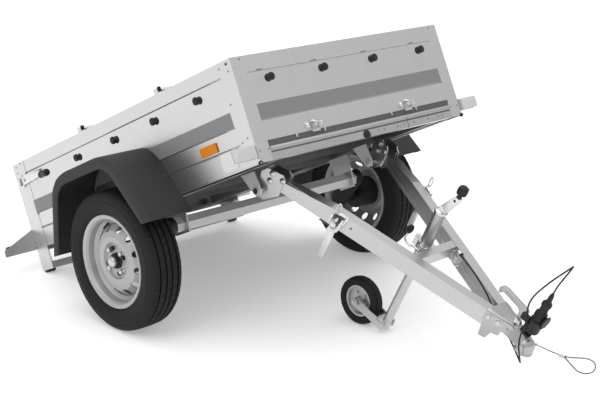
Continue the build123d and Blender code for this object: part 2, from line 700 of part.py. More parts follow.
# coupling head: a pressed channel over the tube ends, with the ball cup in front
CABLE_EXIT = (1132.771, 47.0, 127.9)
CABLE_BACK = (30.2, -45.0, 22.1)             # the way back into the head
BALL_S = 1064.0
BALL_N = 62.0
BALL_R = 25.5
CUP_R = 32.5
PLATE_S0, PLATE_S1 = 900.0, 986.0
with BuildPart(BAR) as coupling_head:
    with BuildSketch(BAR.offset(ARM_TOP)):
        with BuildLine():
            Polyline((PLATE_S0, -57), (PLATE_S1, -29), (1050, -22), (1050, 22), (PLATE_S1, 29),
                     (PLATE_S0, 57), close=True)
        make_face()
    extrude(amount=5)
    for s in (-1, 1):
        ax = (math.cos(yaw), -s * math.sin(yaw), 0)
        side_dir = (s * math.sin(yaw), math.cos(yaw), 0)
        flange = bar_plane(0, s * ARM_Y0, 0, ax, tuple(-c for c in side_dir))
        with BuildSketch(flange):
            with BuildLine():
                Polyline((941, 62), (941, ARM_TOP), (1045, ARM_TOP), (1060, 84), (1060, 56),
                         (1016, 61), close=True)
            make_face()
        extrude(amount=-s * 5)
        with BuildSketch(flange):                                        # guide under the tube end
            with BuildLine():
                Polyline((944, 64), (944, 34), (950, -9), (978, -5), (988, 28), (1015, 32),
                         (1018, 64), close=True)
            make_face()
        extrude(amount=-s * 2)
        with Locations((1025, s * 28.5, 78)):
            Box(80, 5, 44)
    with Locations((1043, 0, 95)):
        Box(26, 44, 20)
    with Locations((BALL_S, 0, BALL_N)):
        Sphere(CUP_R)
    with BuildSketch(BAR.offset(BALL_N - 24)):
        with Locations((BALL_S, 0)):
            Circle(CUP_R)
    extrude(amount=24)
    with BuildSketch(BAR.offset(BALL_N - 24)):
        with Locations((BALL_S, 0)):
            Circle(CUP_R + 2.5)
    extrude(amount=5)
    with Locations((BALL_S, 0, BALL_N)):
        Sphere(BALL_R, mode=Mode.SUBTRACT)
    with BuildSketch(BAR.offset(BALL_N)):
        with Locations((BALL_S, 0)):
            Circle(BALL_R)
    extrude(amount=-60, mode=Mode.SUBTRACT)
    with BuildSketch(Plane(origin=CABLE_EXIT, z_dir=CABLE_BACK)):       # breakaway cable's sleeve
        Circle(5)
    extrude(amount=36)
save(coupling_head.part, "coupling_head")

HANDLE_W = 10.0
HANDLE = ((1004, 105), (1006, 150), (1014, 160), (1014, 175), (1004, 181), (902, 190),
          (886, 186), (876, 172), (880, 155), (890, 157), (893, 168), (972, 160),
          (982, 150), (984, 105))
with BuildPart() as coupling_handle:
    with BuildSketch(bar_plane(0, HANDLE_W / 2, 0, (1, 0, 0), (0, -1, 0))):
        with BuildLine():
            Polyline(*HANDLE, close=True)
        make_face()
    extrude(amount=HANDLE_W)
save(coupling_handle.part, "coupling_handle")

# ------------------------------------------------- plug, holder and lead
PLUG_S = 1055.0
HOLDER_N0, HOLDER_N1 = 122.0, 178.0
PLUG_TOP = 298.0
LEAD_D = 6.0
with BuildPart(BAR) as plug_holder:
    with BuildSketch(BAR.offset(HOLDER_N0)):
        with Locations((PLUG_S, 0)):
            Circle(28)
    extrude(amount=HOLDER_N1 - HOLDER_N0)
    with BuildSketch(bar_plane(0, 12, 0, (1, 0, 0), (0, -1, 0))):
        with BuildLine():
            Polyline((1018, 105), (1038, 105), (1048, 122), (1048, 168), (1034, 160), (1026, 140),
                     close=True)
        make_face()
    extrude(amount=24)
    with Locations((PLUG_S - 35, -18, 163)):
        Box(34, 14, 26)
    with BuildSketch(bar_plane(PLUG_S + 27, 0, 190, (0, 1, 0), (1, 0, 0))):        # open lid
        Circle(26)
    extrude(amount=6)
save(plug_holder.part, "plug_holder")

PLUG_PTS = ((0, 0), (24, 0), (24, 34), (18, 40), (18, 66), (21, 70), (21, 82), (10, 90), (7, 98),
            (5, PLUG_TOP - HOLDER_N1), (0, PLUG_TOP - HOLDER_N1))
with BuildPart() as lead_plug:
    up_plug = bar_plane(PLUG_S, 0, HOLDER_N1, (1, 0, 0), (0, -1, 0))
    with BuildSketch(up_plug):
        with BuildLine():
            Polyline(*PLUG_PTS, close=True)
        make_face()
    revolve(axis=Axis(up_plug.origin, up_plug.y_dir))
save(lead_plug.part, "lead_plug")

# the lead leaves a clip on the left tube's inner face
GLAND_T = 710.0                           # along the tube, from the hinge
GLAND_N = 100.0
GLAND_OFF = 9.0
left_face = bar_plane(0, ARM_Y0, 0, (math.cos(yaw), -math.sin(yaw), 0),
                      (-math.sin(yaw), -math.cos(yaw), 0)).offset(ARM_W)
with BuildPart() as lead_gland:
    with BuildSketch(left_face):
        with Locations((GLAND_T - 40, GLAND_N - 6)):
            Rectangle(24, 30)
    extrude(amount=18)
    nose = Plane(origin=left_face.from_local_coords(Vector(GLAND_T, GLAND_N, GLAND_OFF)),
                 x_dir=left_face.y_dir, z_dir=-left_face.x_dir)
    with BuildSketch(nose):
        Circle(4.0)
    with BuildSketch(nose.offset(30)):
        Circle(7)
    loft()
save(lead_gland.part, "lead_gland")

LEAD_ROUTE = ((784.293, 71.088, 351.226), (824.271, 58.3, 333.2), (878.171, 39.4, 307.0),
              (929.871, 19.8, 274.0), (969.471, 4.3, 239.3), (1002.771, -3.0, 205.6),
              (1035.271, -6.0, 170.1), (1063.671, -4.4, 135.7), (1084.971, -4.5, 102.8),
              (1106.871, -12.5, 81.9), (1129.771, -36.0, 81.5), (1140.371, -55.8, 107.1),
              (1139.171, -63.3, 142.3), (1138.971, -63.3, 175.1), (1143.871, -60.9, 203.2),
              (1153.671, -57.0, 232.2), (1159.371, -53.2, 258.1), (1158.571, -52.6, 284.8),
              (1161.571, -51.5, 310.4), (1174.571, -49.6, 338.5), (1206.271, -51.7, 374.9),
              (1263.071, -68.9, 426.8), (1299.571, -61.6, 459.7), (1309.571, -40.6, 472.3),
              (1307.471, -19.4, 473.8), (1296.771, -2.6, 466.0), (1282.671, 5.1, 449.1),
              (1265.071, 1.4, 421.4), (1246.571, -4.0, 392.1), (1233.071, 0.0, 372.0),
              (1222.357, 0.0, 351.007))


def cord_tube(route, d, name):
    """A round tube along straight runs joined by tangent arcs."""
    pts = [Vector(*p) for p in route]
    runs = [(b - a).length for a, b in zip(pts, pts[1:])]
    radii = []
    for i in range(1, len(pts) - 1):
        turn = math.radians((pts[i] - pts[i - 1]).get_angle(pts[i + 1] - pts[i]))
        radii.append(0.45 * min(runs[i - 1], runs[i]) / math.tan(turn / 2))
    with BuildPart() as tube:
        with BuildLine() as path:
            line = FilletPolyline(*pts, radius=radii)
        with BuildSketch(Plane(origin=pts[0], z_dir=pts[1] - pts[0])):
            Circle(d / 2)
        sweep(path=path.wires()[0])
    want = math.pi * d * d / 4 * path.wires()[0].length
    print(name, "radii", [round(r) for r in radii], "length", round(path.wires()[0].length),
          "volume ratio", round(tube.part.volume / want, 4))
    save(tube.part, name)


cord_tube(LEAD_ROUTE, LEAD_D, "lead_cord")

# ------------------------------------------------- breakaway cable
CABLE_D = 4.0
CABLE_ROUTE = ((1132.771, 47.0, 127.9), (1102.571, 92.0, 105.8), (1068.571, 143.0, 80.6),
               (1042.571, 192.0, 54.6), (1032.571, 234.0, 32.1), (1046.571, 264.0, 13.1),
               (1080.571, 277.2, 4.8), (1107.571, 277.4, 4.6), (1134.571, 302.0, 2.4),
               (1166.571, 328.0, 2.3), (1202.571, 317.0, 2.3), (1231.571, 281.0, 2.3),
               (1249.571, 238.0, 2.3), (1240.571, 204.0, 2.3), (1210.571, 200.0, 2.3),
               (1172.571, 226.0, 2.3), (1135.571, 252.0, 2.4), (1106.571, 272.6, 4.4))
cord_tube(CABLE_ROUTE, CABLE_D, "breakaway_cable")

with BuildPart() as cable_ferrule:
    with BuildSketch(Plane(origin=(1080.571, 275, 4.8), x_dir=(0, 1, 0), z_dir=(1, 0, 0))):
        SlotCenterToCenter(4.8, 9)
    extrude(amount=26)
save(cable_ferrule.part, "cable_ferrule")
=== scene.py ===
import bpy, bmesh, math
from mathutils import Vector, Matrix


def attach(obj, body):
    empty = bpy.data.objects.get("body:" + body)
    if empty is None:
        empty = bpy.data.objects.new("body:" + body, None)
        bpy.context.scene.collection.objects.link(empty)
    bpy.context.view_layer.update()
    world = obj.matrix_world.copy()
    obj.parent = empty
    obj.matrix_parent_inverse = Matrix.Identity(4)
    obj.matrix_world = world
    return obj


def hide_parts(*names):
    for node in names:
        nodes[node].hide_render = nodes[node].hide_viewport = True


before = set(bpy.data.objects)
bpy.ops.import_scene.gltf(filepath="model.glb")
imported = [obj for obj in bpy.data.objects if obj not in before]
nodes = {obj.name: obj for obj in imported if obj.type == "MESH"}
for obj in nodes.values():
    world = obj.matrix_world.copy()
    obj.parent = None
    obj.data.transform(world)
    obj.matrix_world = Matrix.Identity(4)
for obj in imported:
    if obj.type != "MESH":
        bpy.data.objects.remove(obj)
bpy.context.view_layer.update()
scene = bpy.context.scene

# ------------------------------------------------------------------ camera
cam_data = bpy.data.cameras.new("camera")
cam_data.sensor_width = 36.0
cam_data.lens = 77.28
cam_data.clip_end = 200
cam = bpy.data.objects.new("camera", cam_data)
scene.collection.objects.link(cam)
cam.location = (3.52257, -3.441, 1.861)
look = Vector((-0.685625, 0.671883, -0.280164))
cam.rotation_euler = look.to_track_quat("-Z", "Y").to_euler()
scene.camera = cam

# ------------------------------------------------------------------ frames
TIP, PITCH = math.radians(24.5), math.radians(26.9)
X0, TYRE_R, WHEEL_Y = -263.359, 273.5, 666.0
MM = Matrix.Scale(0.001, 4)


def frame_matrix(origin, x, z):
    x, z = Vector(x), Vector(z)
    y = z.cross(x)
    m = Matrix((x, y, z)).transposed().to_4x4()
    m.translation = Vector(origin)
    return MM @ m


WORLD = MM
BOX = frame_matrix((X0, 0, TYRE_R), (math.cos(TIP), 0, math.sin(TIP)), (-math.sin(TIP), 0, math.cos(TIP)))
HINGE = (146.685, 0, 562.57)
BAR = frame_matrix(HINGE, (math.cos(PITCH), 0, -math.sin(PITCH)), (math.sin(PITCH), 0, math.cos(PITCH)))
YAW = math.atan(0.305)
ARM_Y0, ARM_W = 327.0, 42.0
JOCKEY_S, WHEEL_S = 536.0, 393.0
WHEEL_N = (95.0 - HINGE[2] + WHEEL_S * math.sin(PITCH)) / math.cos(PITCH)

# ------------------------------------------------------------------ cords
LEAD_ROUTE = ((784.293, 71.088, 351.226), (824.271, 58.3, 333.2), (878.171, 39.4, 307.0),
              (929.871, 19.8, 274.0), (969.471, 4.3, 239.3), (1002.771, -3.0, 205.6),
              (1035.271, -6.0, 170.1), (1063.671, -4.4, 135.7), (1084.971, -4.5, 102.8),
              (1106.871, -12.5, 81.9), (1129.771, -36.0, 81.5), (1140.371, -55.8, 107.1),
              (1139.171, -63.3, 142.3), (1138.971, -63.3, 175.1), (1143.871, -60.9, 203.2),
              (1153.671, -57.0, 232.2), (1159.371, -53.2, 258.1), (1158.571, -52.6, 284.8),
              (1161.571, -51.5, 310.4), (1174.571, -49.6, 338.5), (1206.271, -51.7, 374.9),
              (1263.071, -68.9, 426.8), (1299.571, -61.6, 459.7), (1309.571, -40.6, 472.3),
              (1307.471, -19.4, 473.8), (1296.771, -2.6, 466.0), (1282.671, 5.1, 449.1),
              (1265.071, 1.4, 421.4), (1246.571, -4.0, 392.1), (1233.071, 0.0, 372.0),
              (1222.357, 0.0, 351.007))
CABLE_ROUTE = ((1132.771, 47.0, 127.9), (1102.571, 92.0, 105.8), (1068.571, 143.0, 80.6),
               (1042.571, 192.0, 54.6), (1032.571, 234.0, 32.1), (1046.571, 264.0, 13.1),
               (1080.571, 277.2, 4.8), (1107.571, 277.4, 4.6), (1134.571, 302.0, 2.4),
               (1166.571, 328.0, 2.3), (1202.571, 317.0, 2.3), (1231.571, 281.0, 2.3),
               (1249.571, 238.0, 2.3), (1240.571, 204.0, 2.3), (1210.571, 200.0, 2.3),
               (1172.571, 226.0, 2.3), (1135.571, 252.0, 2.4), (1106.571, 272.6, 4.4))


def cord_curve(name, route, d):
    cu = bpy.data.curves.new(name, "CURVE")
    cu.dimensions = "3D"
    sp = cu.splines.new("NURBS")
    sp.points.add(len(route) - 1)
    for p, q in zip(sp.points, route):
        p.co = (q[0] / 1000, q[1] / 1000, q[2] / 1000, 1)
    sp.order_u = 3
    sp.use_endpoint_u = True
    sp.resolution_u = 12
    cu.bevel_depth = d / 2000
    cu.bevel_resolution = 3
    cu.use_fill_caps = True
    ob = bpy.data.objects.new(name, cu)
    scene.collection.objects.link(ob)
    return ob


# ------------------------------------------------------------------ materials
def material(name):
    m = bpy.data.materials.new(name)
    m.use_nodes = True
    nt = m.node_tree
    bsdf = nt.nodes["Principled BSDF"]
    return m, nt, bsdf


def noise(nt, scale, detail=4.0, rough=0.6, vector=None):
    n = nt.nodes.new("ShaderNodeTexNoise")
    n.inputs["Scale"].default_value = scale
    n.inputs["Detail"].default_value = detail
    n.inputs["Roughness"].default_value = rough
    if vector is not None:
        nt.links.new(vector, n.inputs["Vector"])
    return n


def coords(nt, scale=(1, 1, 1)):
    tc = nt.nodes.new("ShaderNodeTexCoord")
    mp = nt.nodes.new("ShaderNodeMapping")
    mp.inputs["Scale"].default_value = scale
    nt.links.new(tc.outputs["Object"], mp.inputs["Vector"])
    return mp.outputs["Vector"]


def ramp(nt, fac, stops):
    r = nt.nodes.new("ShaderNodeValToRGB")
    while len(r.color_ramp.elements) < len(stops):
        r.color_ramp.elements.new(0.5)
    for e, (pos, col) in zip(r.color_ramp.elements, stops):
        e.position = pos
        e.color = (*col, 1) if len(col) == 3 else col
    nt.links.new(fac, r.inputs["Fac"])
    return r.outputs["Color"]


def grey_range(nt, fac, lo, hi):
    r = nt.nodes.new("ShaderNodeMapRange")
    r.inputs["To Min"].default_value = lo
    r.inputs["To Max"].default_value = hi
    nt.links.new(fac, r.inputs["Value"])
    return r.outputs["Result"]


def bump(nt, height, strength, distance):
    b = nt.nodes.new("ShaderNodeBump")
    b.inputs["Strength"].default_value = strength
    b.inputs["Distance"].default_value = distance
    nt.links.new(height, b.inputs["Height"])
    return b


def metal(name, colour, metallic, rough, spread=0.06, spangle=0.0, scratch=0.0, bump_s=0.05, scale=1.0):
    m, nt, bsdf = material(name)
    bsdf.inputs["Metallic"].default_value = metallic
    vec = coords(nt)
    n = noise(nt, 9.0 * scale, 6.0, 0.65, vec)
    fac = n.outputs["Fac"]
    if spangle:
        v = nt.nodes.new("ShaderNodeTexVoronoi")
        v.inputs["Scale"].default_value = 95.0 * scale
        nt.links.new(vec, v.inputs["Vector"])
        bw = nt.nodes.new("ShaderNodeRGBToBW")
        nt.links.new(v.outputs["Color"], bw.inputs["Color"])
        mix = nt.nodes.new("ShaderNodeMix")
        mix.inputs["Factor"].default_value = spangle
        nt.links.new(fac, mix.inputs["A"])
        nt.links.new(bw.outputs["Val"], mix.inputs["B"])
        fac = mix.outputs["Result"]
    lo = tuple(max(c * (1 - spread), 0) for c in colour)
    hi = tuple(min(c * (1 + spread), 1) for c in colour)
    nt.links.new(ramp(nt, fac, ((0.25, lo), (0.75, hi))), bsdf.inputs["Base Color"])
    fine = noise(nt, 60.0, 3.0, 0.7, coords(nt, (0.25, 1, 1) if scratch else (1, 1, 1)))
    nt.links.new(grey_range(nt, fine.outputs["Fac"], rough - 0.03, rough + 0.05), bsdf.inputs["Roughness"])
    b = bump(nt, fine.outputs["Fac"], bump_s, 0.0006)
    nt.links.new(b.outputs["Normal"], bsdf.inputs["Normal"])
    return m


def plastic(name, colour, rough, grain=260.0, bump_s=0.25, spread=0.25, coat=0.0, shine=0.5):
    m, nt, bsdf = material(name)
    bsdf.inputs["Specular IOR Level"].default_value = shine
    vec = coords(nt)
    n = noise(nt, 6.0, 5.0, 0.6, vec)
    lo = tuple(c * (1 - spread) for c in colour)
    hi = tuple(min(1, c * (1 + spread)) for c in colour)
    nt.links.new(ramp(nt, n.outputs["Fac"], ((0.3, lo), (0.7, hi))), bsdf.inputs["Base Color"])
    nt.links.new(grey_range(nt, n.outputs["Fac"], rough - 0.06, rough + 0.08), bsdf.inputs["Roughness"])
    g = noise(nt, grain, 2.0, 0.5, vec)
    b = bump(nt, g.outputs["Fac"], bump_s, 0.0004)
    nt.links.new(b.outputs["Normal"], bsdf.inputs["Normal"])
    if coat:
        bsdf.inputs["Coat Weight"].default_value = coat
    return m


M = {
    "sheet": metal("sheet_zinc", (0.60, 0.594, 0.59), 1.0, 0.33, 0.03, spangle=0.25, bump_s=0.02),
    "frame": metal("frame_zinc", (0.58, 0.58, 0.58), 1.0, 0.30, 0.06, spangle=0.3, bump_s=0.03),
    "bar": metal("bar_zinc", (0.525, 0.519, 0.517), 1.0, 0.31, 0.02, spangle=0.05, bump_s=0.004),
    "beam": metal("beam_zinc", (0.49, 0.49, 0.49), 1.0, 0.28, 0.06, spangle=0.3, bump_s=0.03),
    "axle": metal("axle_zinc", (0.58, 0.58, 0.58), 0.15, 0.45, 0.05, spangle=0.2, bump_s=0.02),
    # painted shade: a darker copy of the frame zinc for the rails and cross members under the box
    "under": metal("under_zinc_painted_shade", (0.24, 0.24, 0.24), 1.0, 0.36, 0.06, spangle=0.3, bump_s=0.03),
    "satin": metal("satin_zinc", (0.56, 0.56, 0.56), 1.0, 0.38, 0.03, spangle=0.1, bump_s=0.02),
    "zinc": metal("bright_zinc", (0.64, 0.645, 0.64), 1.0, 0.20, 0.05, bump_s=0.03),
    "bolt": metal("bolt_zinc", (0.56, 0.56, 0.555), 1.0, 0.36, 0.04, bump_s=0.03),
    "cast": metal("coupling_zinc", (0.415, 0.418, 0.424), 1.0, 0.30, 0.05, spangle=0.2, bump_s=0.04, scale=1.6),
    "rim": metal("rim_silver", (0.42, 0.42, 0.416), 0.6, 0.46, 0.02, bump_s=0.01),
    "rivet": metal("rivet_steel", (0.26, 0.26, 0.26), 1.0, 0.40, 0.05, bump_s=0.03),
    "rope": metal("cable_steel", (0.12, 0.12, 0.12), 0.9, 0.45, 0.15, bump_s=0.2, scale=20.0),
    "black_steel": metal("black_steel", (0.012, 0.012, 0.013), 0.1, 0.48, 0.25, bump_s=0.2),
    "stripe": plastic("stripe_film", (0.20, 0.20, 0.205), 0.42, 180.0, 0.05, 0.03, shine=0.35),
    "fender": plastic("fender_plastic", (0.032, 0.0315, 0.0323), 0.60, 330.0, 0.25, 0.10, shine=0.25),
    "black": plastic("black_plastic", (0.008, 0.008, 0.0085), 0.45, 300.0, 0.2, 0.2, shine=0.35),
    "rubber": plastic("tyre_rubber", (0.010, 0.0096, 0.010), 0.68, 420.0, 0.3, 0.2, shine=0.25),
    "lead": plastic("lead_sheath", (0.008, 0.008, 0.0085), 0.45, 500.0, 0.1, 0.2, shine=0.3),
    "amber": plastic("amber_lens", (0.60, 0.185, 0.003), 0.45, 700.0, 0.4, 0.04, coat=0.05, shine=0.2),
    "red": plastic("red_lens", (0.42, 0.012, 0.01), 0.2, 600.0, 0.6, 0.06, coat=0.6),
    "clear": plastic("white_lens", (0.53, 0.525, 0.52), 0.35, 600.0, 0.4, 0.04, coat=0.1, shine=0.3),
    "plate": plastic("plate_film", (0.64, 0.64, 0.63), 0.35, 200.0, 0.05, 0.03),
    "shadow": plastic("painted_shadow_dark", (0.010, 0.010, 0.010), 0.8, 200.0, 0.05, 0.1, shine=0.2),
    "line": plastic("seam_shade", (0.10, 0.10, 0.10), 0.7, 200.0, 0.05, 0.05, shine=0.2),
}


def wood_material():
    m, nt, bsdf = material("floor_plywood")
    vec = coords(nt, (1.5, 14, 14))
    n = noise(nt, 3.0, 8.0, 0.6, vec)
    nt.links.new(ramp(nt, n.outputs["Fac"], ((0.3, (0.030, 0.026, 0.024)), (0.7, (0.042, 0.036, 0.033)))), bsdf.inputs["Base Color"])
    w = nt.nodes.new("ShaderNodeTexWave")
    w.inputs["Scale"].default_value = 130.0
    nt.links.new(coords(nt), w.inputs["Vector"])
    b = bump(nt, w.outputs["Fac"], 0.25, 0.0006)
    nt.links.new(b.outputs["Normal"], bsdf.inputs["Normal"])
    bsdf.inputs["Roughness"].default_value = 0.45
    return m


M["wood"] = wood_material()


# ------------------------------------------------------------------ mesh helpers
def finish_mesh(name, bm, place, body, mat, replaces=(), smooth=35.0):
    bmesh.ops.remove_doubles(bm, verts=bm.verts, dist=0.001)
    bmesh.ops.recalc_face_normals(bm, faces=bm.faces)
    lim = math.radians(smooth)
    for f in bm.faces:
        f.smooth = True
    for e in bm.edges:
        if len(e.link_faces) == 2 and e.calc_face_angle(0.0) > lim:
            e.smooth = False
    me = bpy.data.meshes.new(name)
    bm.transform(place)
    bm.to_mesh(me)
    bm.free()
    ob = bpy.data.objects.new(name, me)
    scene.collection.objects.link(ob)
    me.materials.append(M[mat])
    if replaces:
        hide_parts(*replaces)
    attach(ob, body)
    return ob


def basis(axis):
    a = Vector(axis).normalized()
    t = Vector((0, 0, 1)) if abs(a.z) < 0.9 else Vector((1, 0, 0))
    u = t.cross(a).normalized()
    return u, a.cross(u), a


def lathe(bm, origin, axis, profile, seg=32, closed=False):
    """profile: (radius, height along axis). A radius of 0 makes a pole."""
    u, v, a = basis(axis)
    o = Vector(origin)
    rings = []
    for r, h in profile:
        if r <= 1e-6:
            rings.append([bm.verts.new(o + a * h)])
        else:
            rings.append([bm.verts.new(o + a * h + (u * math.cos(t) + v * math.sin(t)) * r)
                          for t in (2 * math.pi * i / seg for i in range(seg))])
    pairs = list(zip(rings, rings[1:]))
    if closed:
        pairs.append((rings[-1], rings[0]))
    for A, B in pairs:
        for i in range(seg):
            j = (i + 1) % seg
            if len(A) == 1 and len(B) == 1:
                continue
            if len(A) == 1:
                bm.faces.new((A[0], B[i], B[j]))
            elif len(B) == 1:
                bm.faces.new((A[i], B[0], A[j]))
            else:
                bm.faces.new((A[i], B[i], B[j], A[j]))


def cyl(bm, origin, axis, r, h, seg=24, edge=0.0):
    e = min(edge, r * 0.5, h * 0.45)
    if e:
        prof = [(0, 0), (r - e, 0), (r - 0.3 * e, 0.3 * e), (r, e), (r, h - e), (r - 0.3 * e, h - 0.3 * e), (r - e, h), (0, h)]
    else:
        prof = [(0, 0), (r, 0), (r, h), (0, h)]
    lathe(bm, origin, axis, prof, seg)


def hexhead(bm, origin, axis, af, h, washer=True):
    u, v, a = basis(axis)
    o = Vector(origin)
    if washer:
        cyl(bm, o, axis, af * 0.78, 1.6, 20, 0.4)
        o = o + a * 1.6
    R = af / math.sqrt(3)
    lo = [bm.verts.new(o + (u * math.cos(k * math.pi / 3) + v * math.sin(k * math.pi / 3)) * R) for k in range(6)]
    mid = [bm.verts.new(o + a * (h * 0.82) + (u * math.cos(k * math.pi / 3) + v * math.sin(k * math.pi / 3)) * R) for k in range(6)]
    hi = [bm.verts.new(o + a * h + (u * math.cos(k * math.pi / 3) + v * math.sin(k * math.pi / 3)) * R * 0.84) for k in range(6)]
    bm.faces.new(hi)
    for k in range(6):
        j = (k + 1) % 6
        bm.faces.new((lo[k], lo[j], mid[j], mid[k]))
        bm.faces.new((mid[k], mid[j], hi[j], hi[k]))


def rivet(bm, origin, axis, r=4.5, h=2.2):
    lathe(bm, origin, axis, [(r, 0), (r * 0.92, h * 0.5), (r * 0.6, h * 0.9), (0, h)], 14)


def prism(bm, pts, y0, y1, bevel=1.0, seg=2, plane="xz", fix=0.0):
    """A flat outline given a thickness. plane xz: y is the thickness; xy: z is; yz: x is."""
    def put(p, t):
        if plane == "xz":
            return (p[0], t, p[1])
        if plane == "xy":
            return (p[0], p[1], t)
        return (t, p[0], p[1])
    tmp = bmesh.new()
    A = [tmp.verts.new(put(p, y0)) for p in pts]
    B = [tmp.verts.new(put(p, y1)) for p in pts]
    n = len(pts)
    tmp.faces.new(A)
    tmp.faces.new(list(reversed(B)))
    for i in range(n):
        j = (i + 1) % n
        tmp.faces.new((A[i], B[i], B[j], A[j]))
    bmesh.ops.recalc_face_normals(tmp, faces=tmp.faces)
    if bevel:
        ed = [e for e in tmp.edges if len(e.link_faces) == 2 and e.calc_face_angle(0.0) > 0.35]
        bmesh.ops.bevel(tmp, geom=ed, offset=bevel, segments=seg, profile=0.5, affect="EDGES", clamp_overlap=True)
    me = bpy.data.meshes.new("tmp")
    tmp.to_mesh(me)
    tmp.free()
    bm.from_mesh(me)
    bpy.data.meshes.remove(me)


def block(bm, x, y, z, bevel=1.0, seg=2):
    prism(bm, [(x[0], z[0]), (x[1], z[0]), (x[1], z[1]), (x[0], z[1])], y[0], y[1], bevel, seg)


def rounded(pts, radii, steps=6):
    """An outline with its corners rounded. radii is one number or one for each corner; closed."""
    out = []
    n = len(pts)
    for i, p in enumerate(pts):
        r = radii[i] if isinstance(radii, (list, tuple)) else radii
        a, c = Vector(pts[i - 1]), Vector(pts[(i + 1) % n])
        b = Vector(p)
        if r <= 0:
            out.append(tuple(b))
            continue
        da, dc = (a - b), (c - b)
        la, lc = da.length, dc.length
        da.normalize(); dc.normalize()
        ang = da.angle(dc)
        t = min(r / math.tan(ang / 2), la * 0.48, lc * 0.48)
        for k in range(steps + 1):
            s = k / steps
            q = (b + da * t) * (1 - s) ** 2 + b * 2 * s * (1 - s) + (b + dc * t) * s ** 2
            out.append(tuple(q))
    return out


def tube_path(bm, pts, r, seg=12, caps=True):
    """A round bar along points, for handles and bent rod."""
    P = [Vector(p) for p in pts]
    rings = []
    prev = None
    for i, p in enumerate(P):
        d = (P[min(i + 1, len(P) - 1)] - P[max(i - 1, 0)]).normalized()
        if prev is None:
            u = basis(d)[0]
        else:
            u = (prev - d * prev.dot(d)).normalized()
        prev = u
        v = d.cross(u)
        rr = r[i] if isinstance(r, (list, tuple)) else r
        rings.append([bm.verts.new(p + (u * math.cos(2 * math.pi * k / seg) + v * math.sin(2 * math.pi * k / seg)) * rr) for k in range(seg)])
    for A, B in zip(rings, rings[1:]):
        for k in range(seg):
            j = (k + 1) % seg
            bm.faces.new((A[k], A[j], B[j], B[k]))
    if caps:
        bm.faces.new(list(reversed(rings[0])))
        bm.faces.new(rings[-1])


def smooth_line(pts, steps=8):
    """Catmull-Rom points through a few given points."""
    P = [Vector(p) for p in pts]
    P = [P[0] * 2 - P[1]] + P + [P[-1] * 2 - P[-2]]
    out = []
    for i in range(1, len(P) - 2):
        for k in range(steps):
            t = k / steps
            a, b, c, d = P[i - 1], P[i], P[i + 1], P[i + 2]
            out.append(0.5 * ((2 * b) + (c - a) * t + (2 * a - 5 * b + 4 * c - d) * t * t + (3 * b - a - 3 * c + d) * t ** 3))
    out.append(P[-2])
    return out


def side_normal(s):
    return (math.sin(YAW), s * math.cos(YAW), 0)


def arm_point(s, t, off, n):
    """On an arm's outer face: t along it from the hinge, off outward, n up."""
    ax = Vector((math.cos(YAW), -s * math.sin(YAW), 0))
    nn = Vector(side_normal(s))
    return Vector((0, s * ARM_Y0, n)) + ax * t + nn * off


def on_arm(bm, s, pts, off0, off1, bevel=0.8):
    """A flat outline in (t, n) on an arm's outer face, between two distances outward."""
    tmp = bmesh.new()
    prism(tmp, pts, off0, off1, bevel)
    for v in tmp.verts:
        t, off, n = v.co
        v.co = arm_point(s, t, off, n)
    me = bpy.data.meshes.new("tmp")
    tmp.to_mesh(me)
    tmp.free()
    bm.from_mesh(me)
    bpy.data.meshes.remove(me)


def loft(bm, sections, closed=True):
    """Sections of equal point count joined in order, with both ends filled."""
    rings = [[bm.verts.new(p) for p in sec] for sec in sections]
    n = len(rings[0])
    for A, B in zip(rings, rings[1:]):
        for i in range(n if closed else n - 1):
            j = (i + 1) % n
            bm.faces.new((A[i], A[j], B[j], B[i]))
    bm.faces.new(list(reversed(rings[0])))
    bm.faces.new(rings[-1])


# ------------------------------------------------------------------ CAD nodes keep their shape
NODE_MATERIALS = {
    "sheet": ("side_panel_right", "side_panel_left", "tailgate", "corner_posts", "front_panel", "lamp_brackets", "tarp_bows"),
    "frame": ("rear_lower_tube", "axle_brackets"),
    "beam": ("end_beams",),
    "axle": ("axle_beam", "hinge_lugs"),
    "under": ("frame_rails", "cross_members"),
    "satin": ("jockey_leg", "jockey_fork", "jockey_rim"),
    "bar": ("drawbar_arm_right", "drawbar_arm_left", "arm_root_plates", "bar_cross_member"),
    "zinc": ("hinge_pins", "lashing_eyes", "gate_latches", "gate_hinge_leaves",
             "gate_hinge_pins", "jockey_clamp", "jockey_crank", "bar_locks", "cable_ferrule"),
    "cast": ("coupling_head", "coupling_handle", "jockey_tube"),
    "rim": ("rim_left", "rim_right"),
    "black_steel": ("swing_arms", "hub_left", "hub_right"),
    "black": ("parking_feet", "plug_holder"),
    "clear": ("front_markers",),
    "plate": ("data_plate",),
    "red": ("rear_lamps",),
    "amber": ("side_reflectors",),
    "wood": ("floor_panel",),
}
for mat, names in NODE_MATERIALS.items():
    for n in names:
        o = nodes[n]
        if o.material_slots:
            for sl in o.material_slots:
                sl.material = M[mat]
        else:
            o.data.materials.append(M[mat])

lead = cord_curve("lead", LEAD_ROUTE, 6.0)
lead.data.materials.append(M["lead"])
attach(lead, "drawbar")
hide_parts("lead_cord")
cable = cord_curve("cable", CABLE_ROUTE, 4.0)
cable.data.materials.append(M["rope"])
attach(cable, "drawbar")
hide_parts("breakaway_cable")

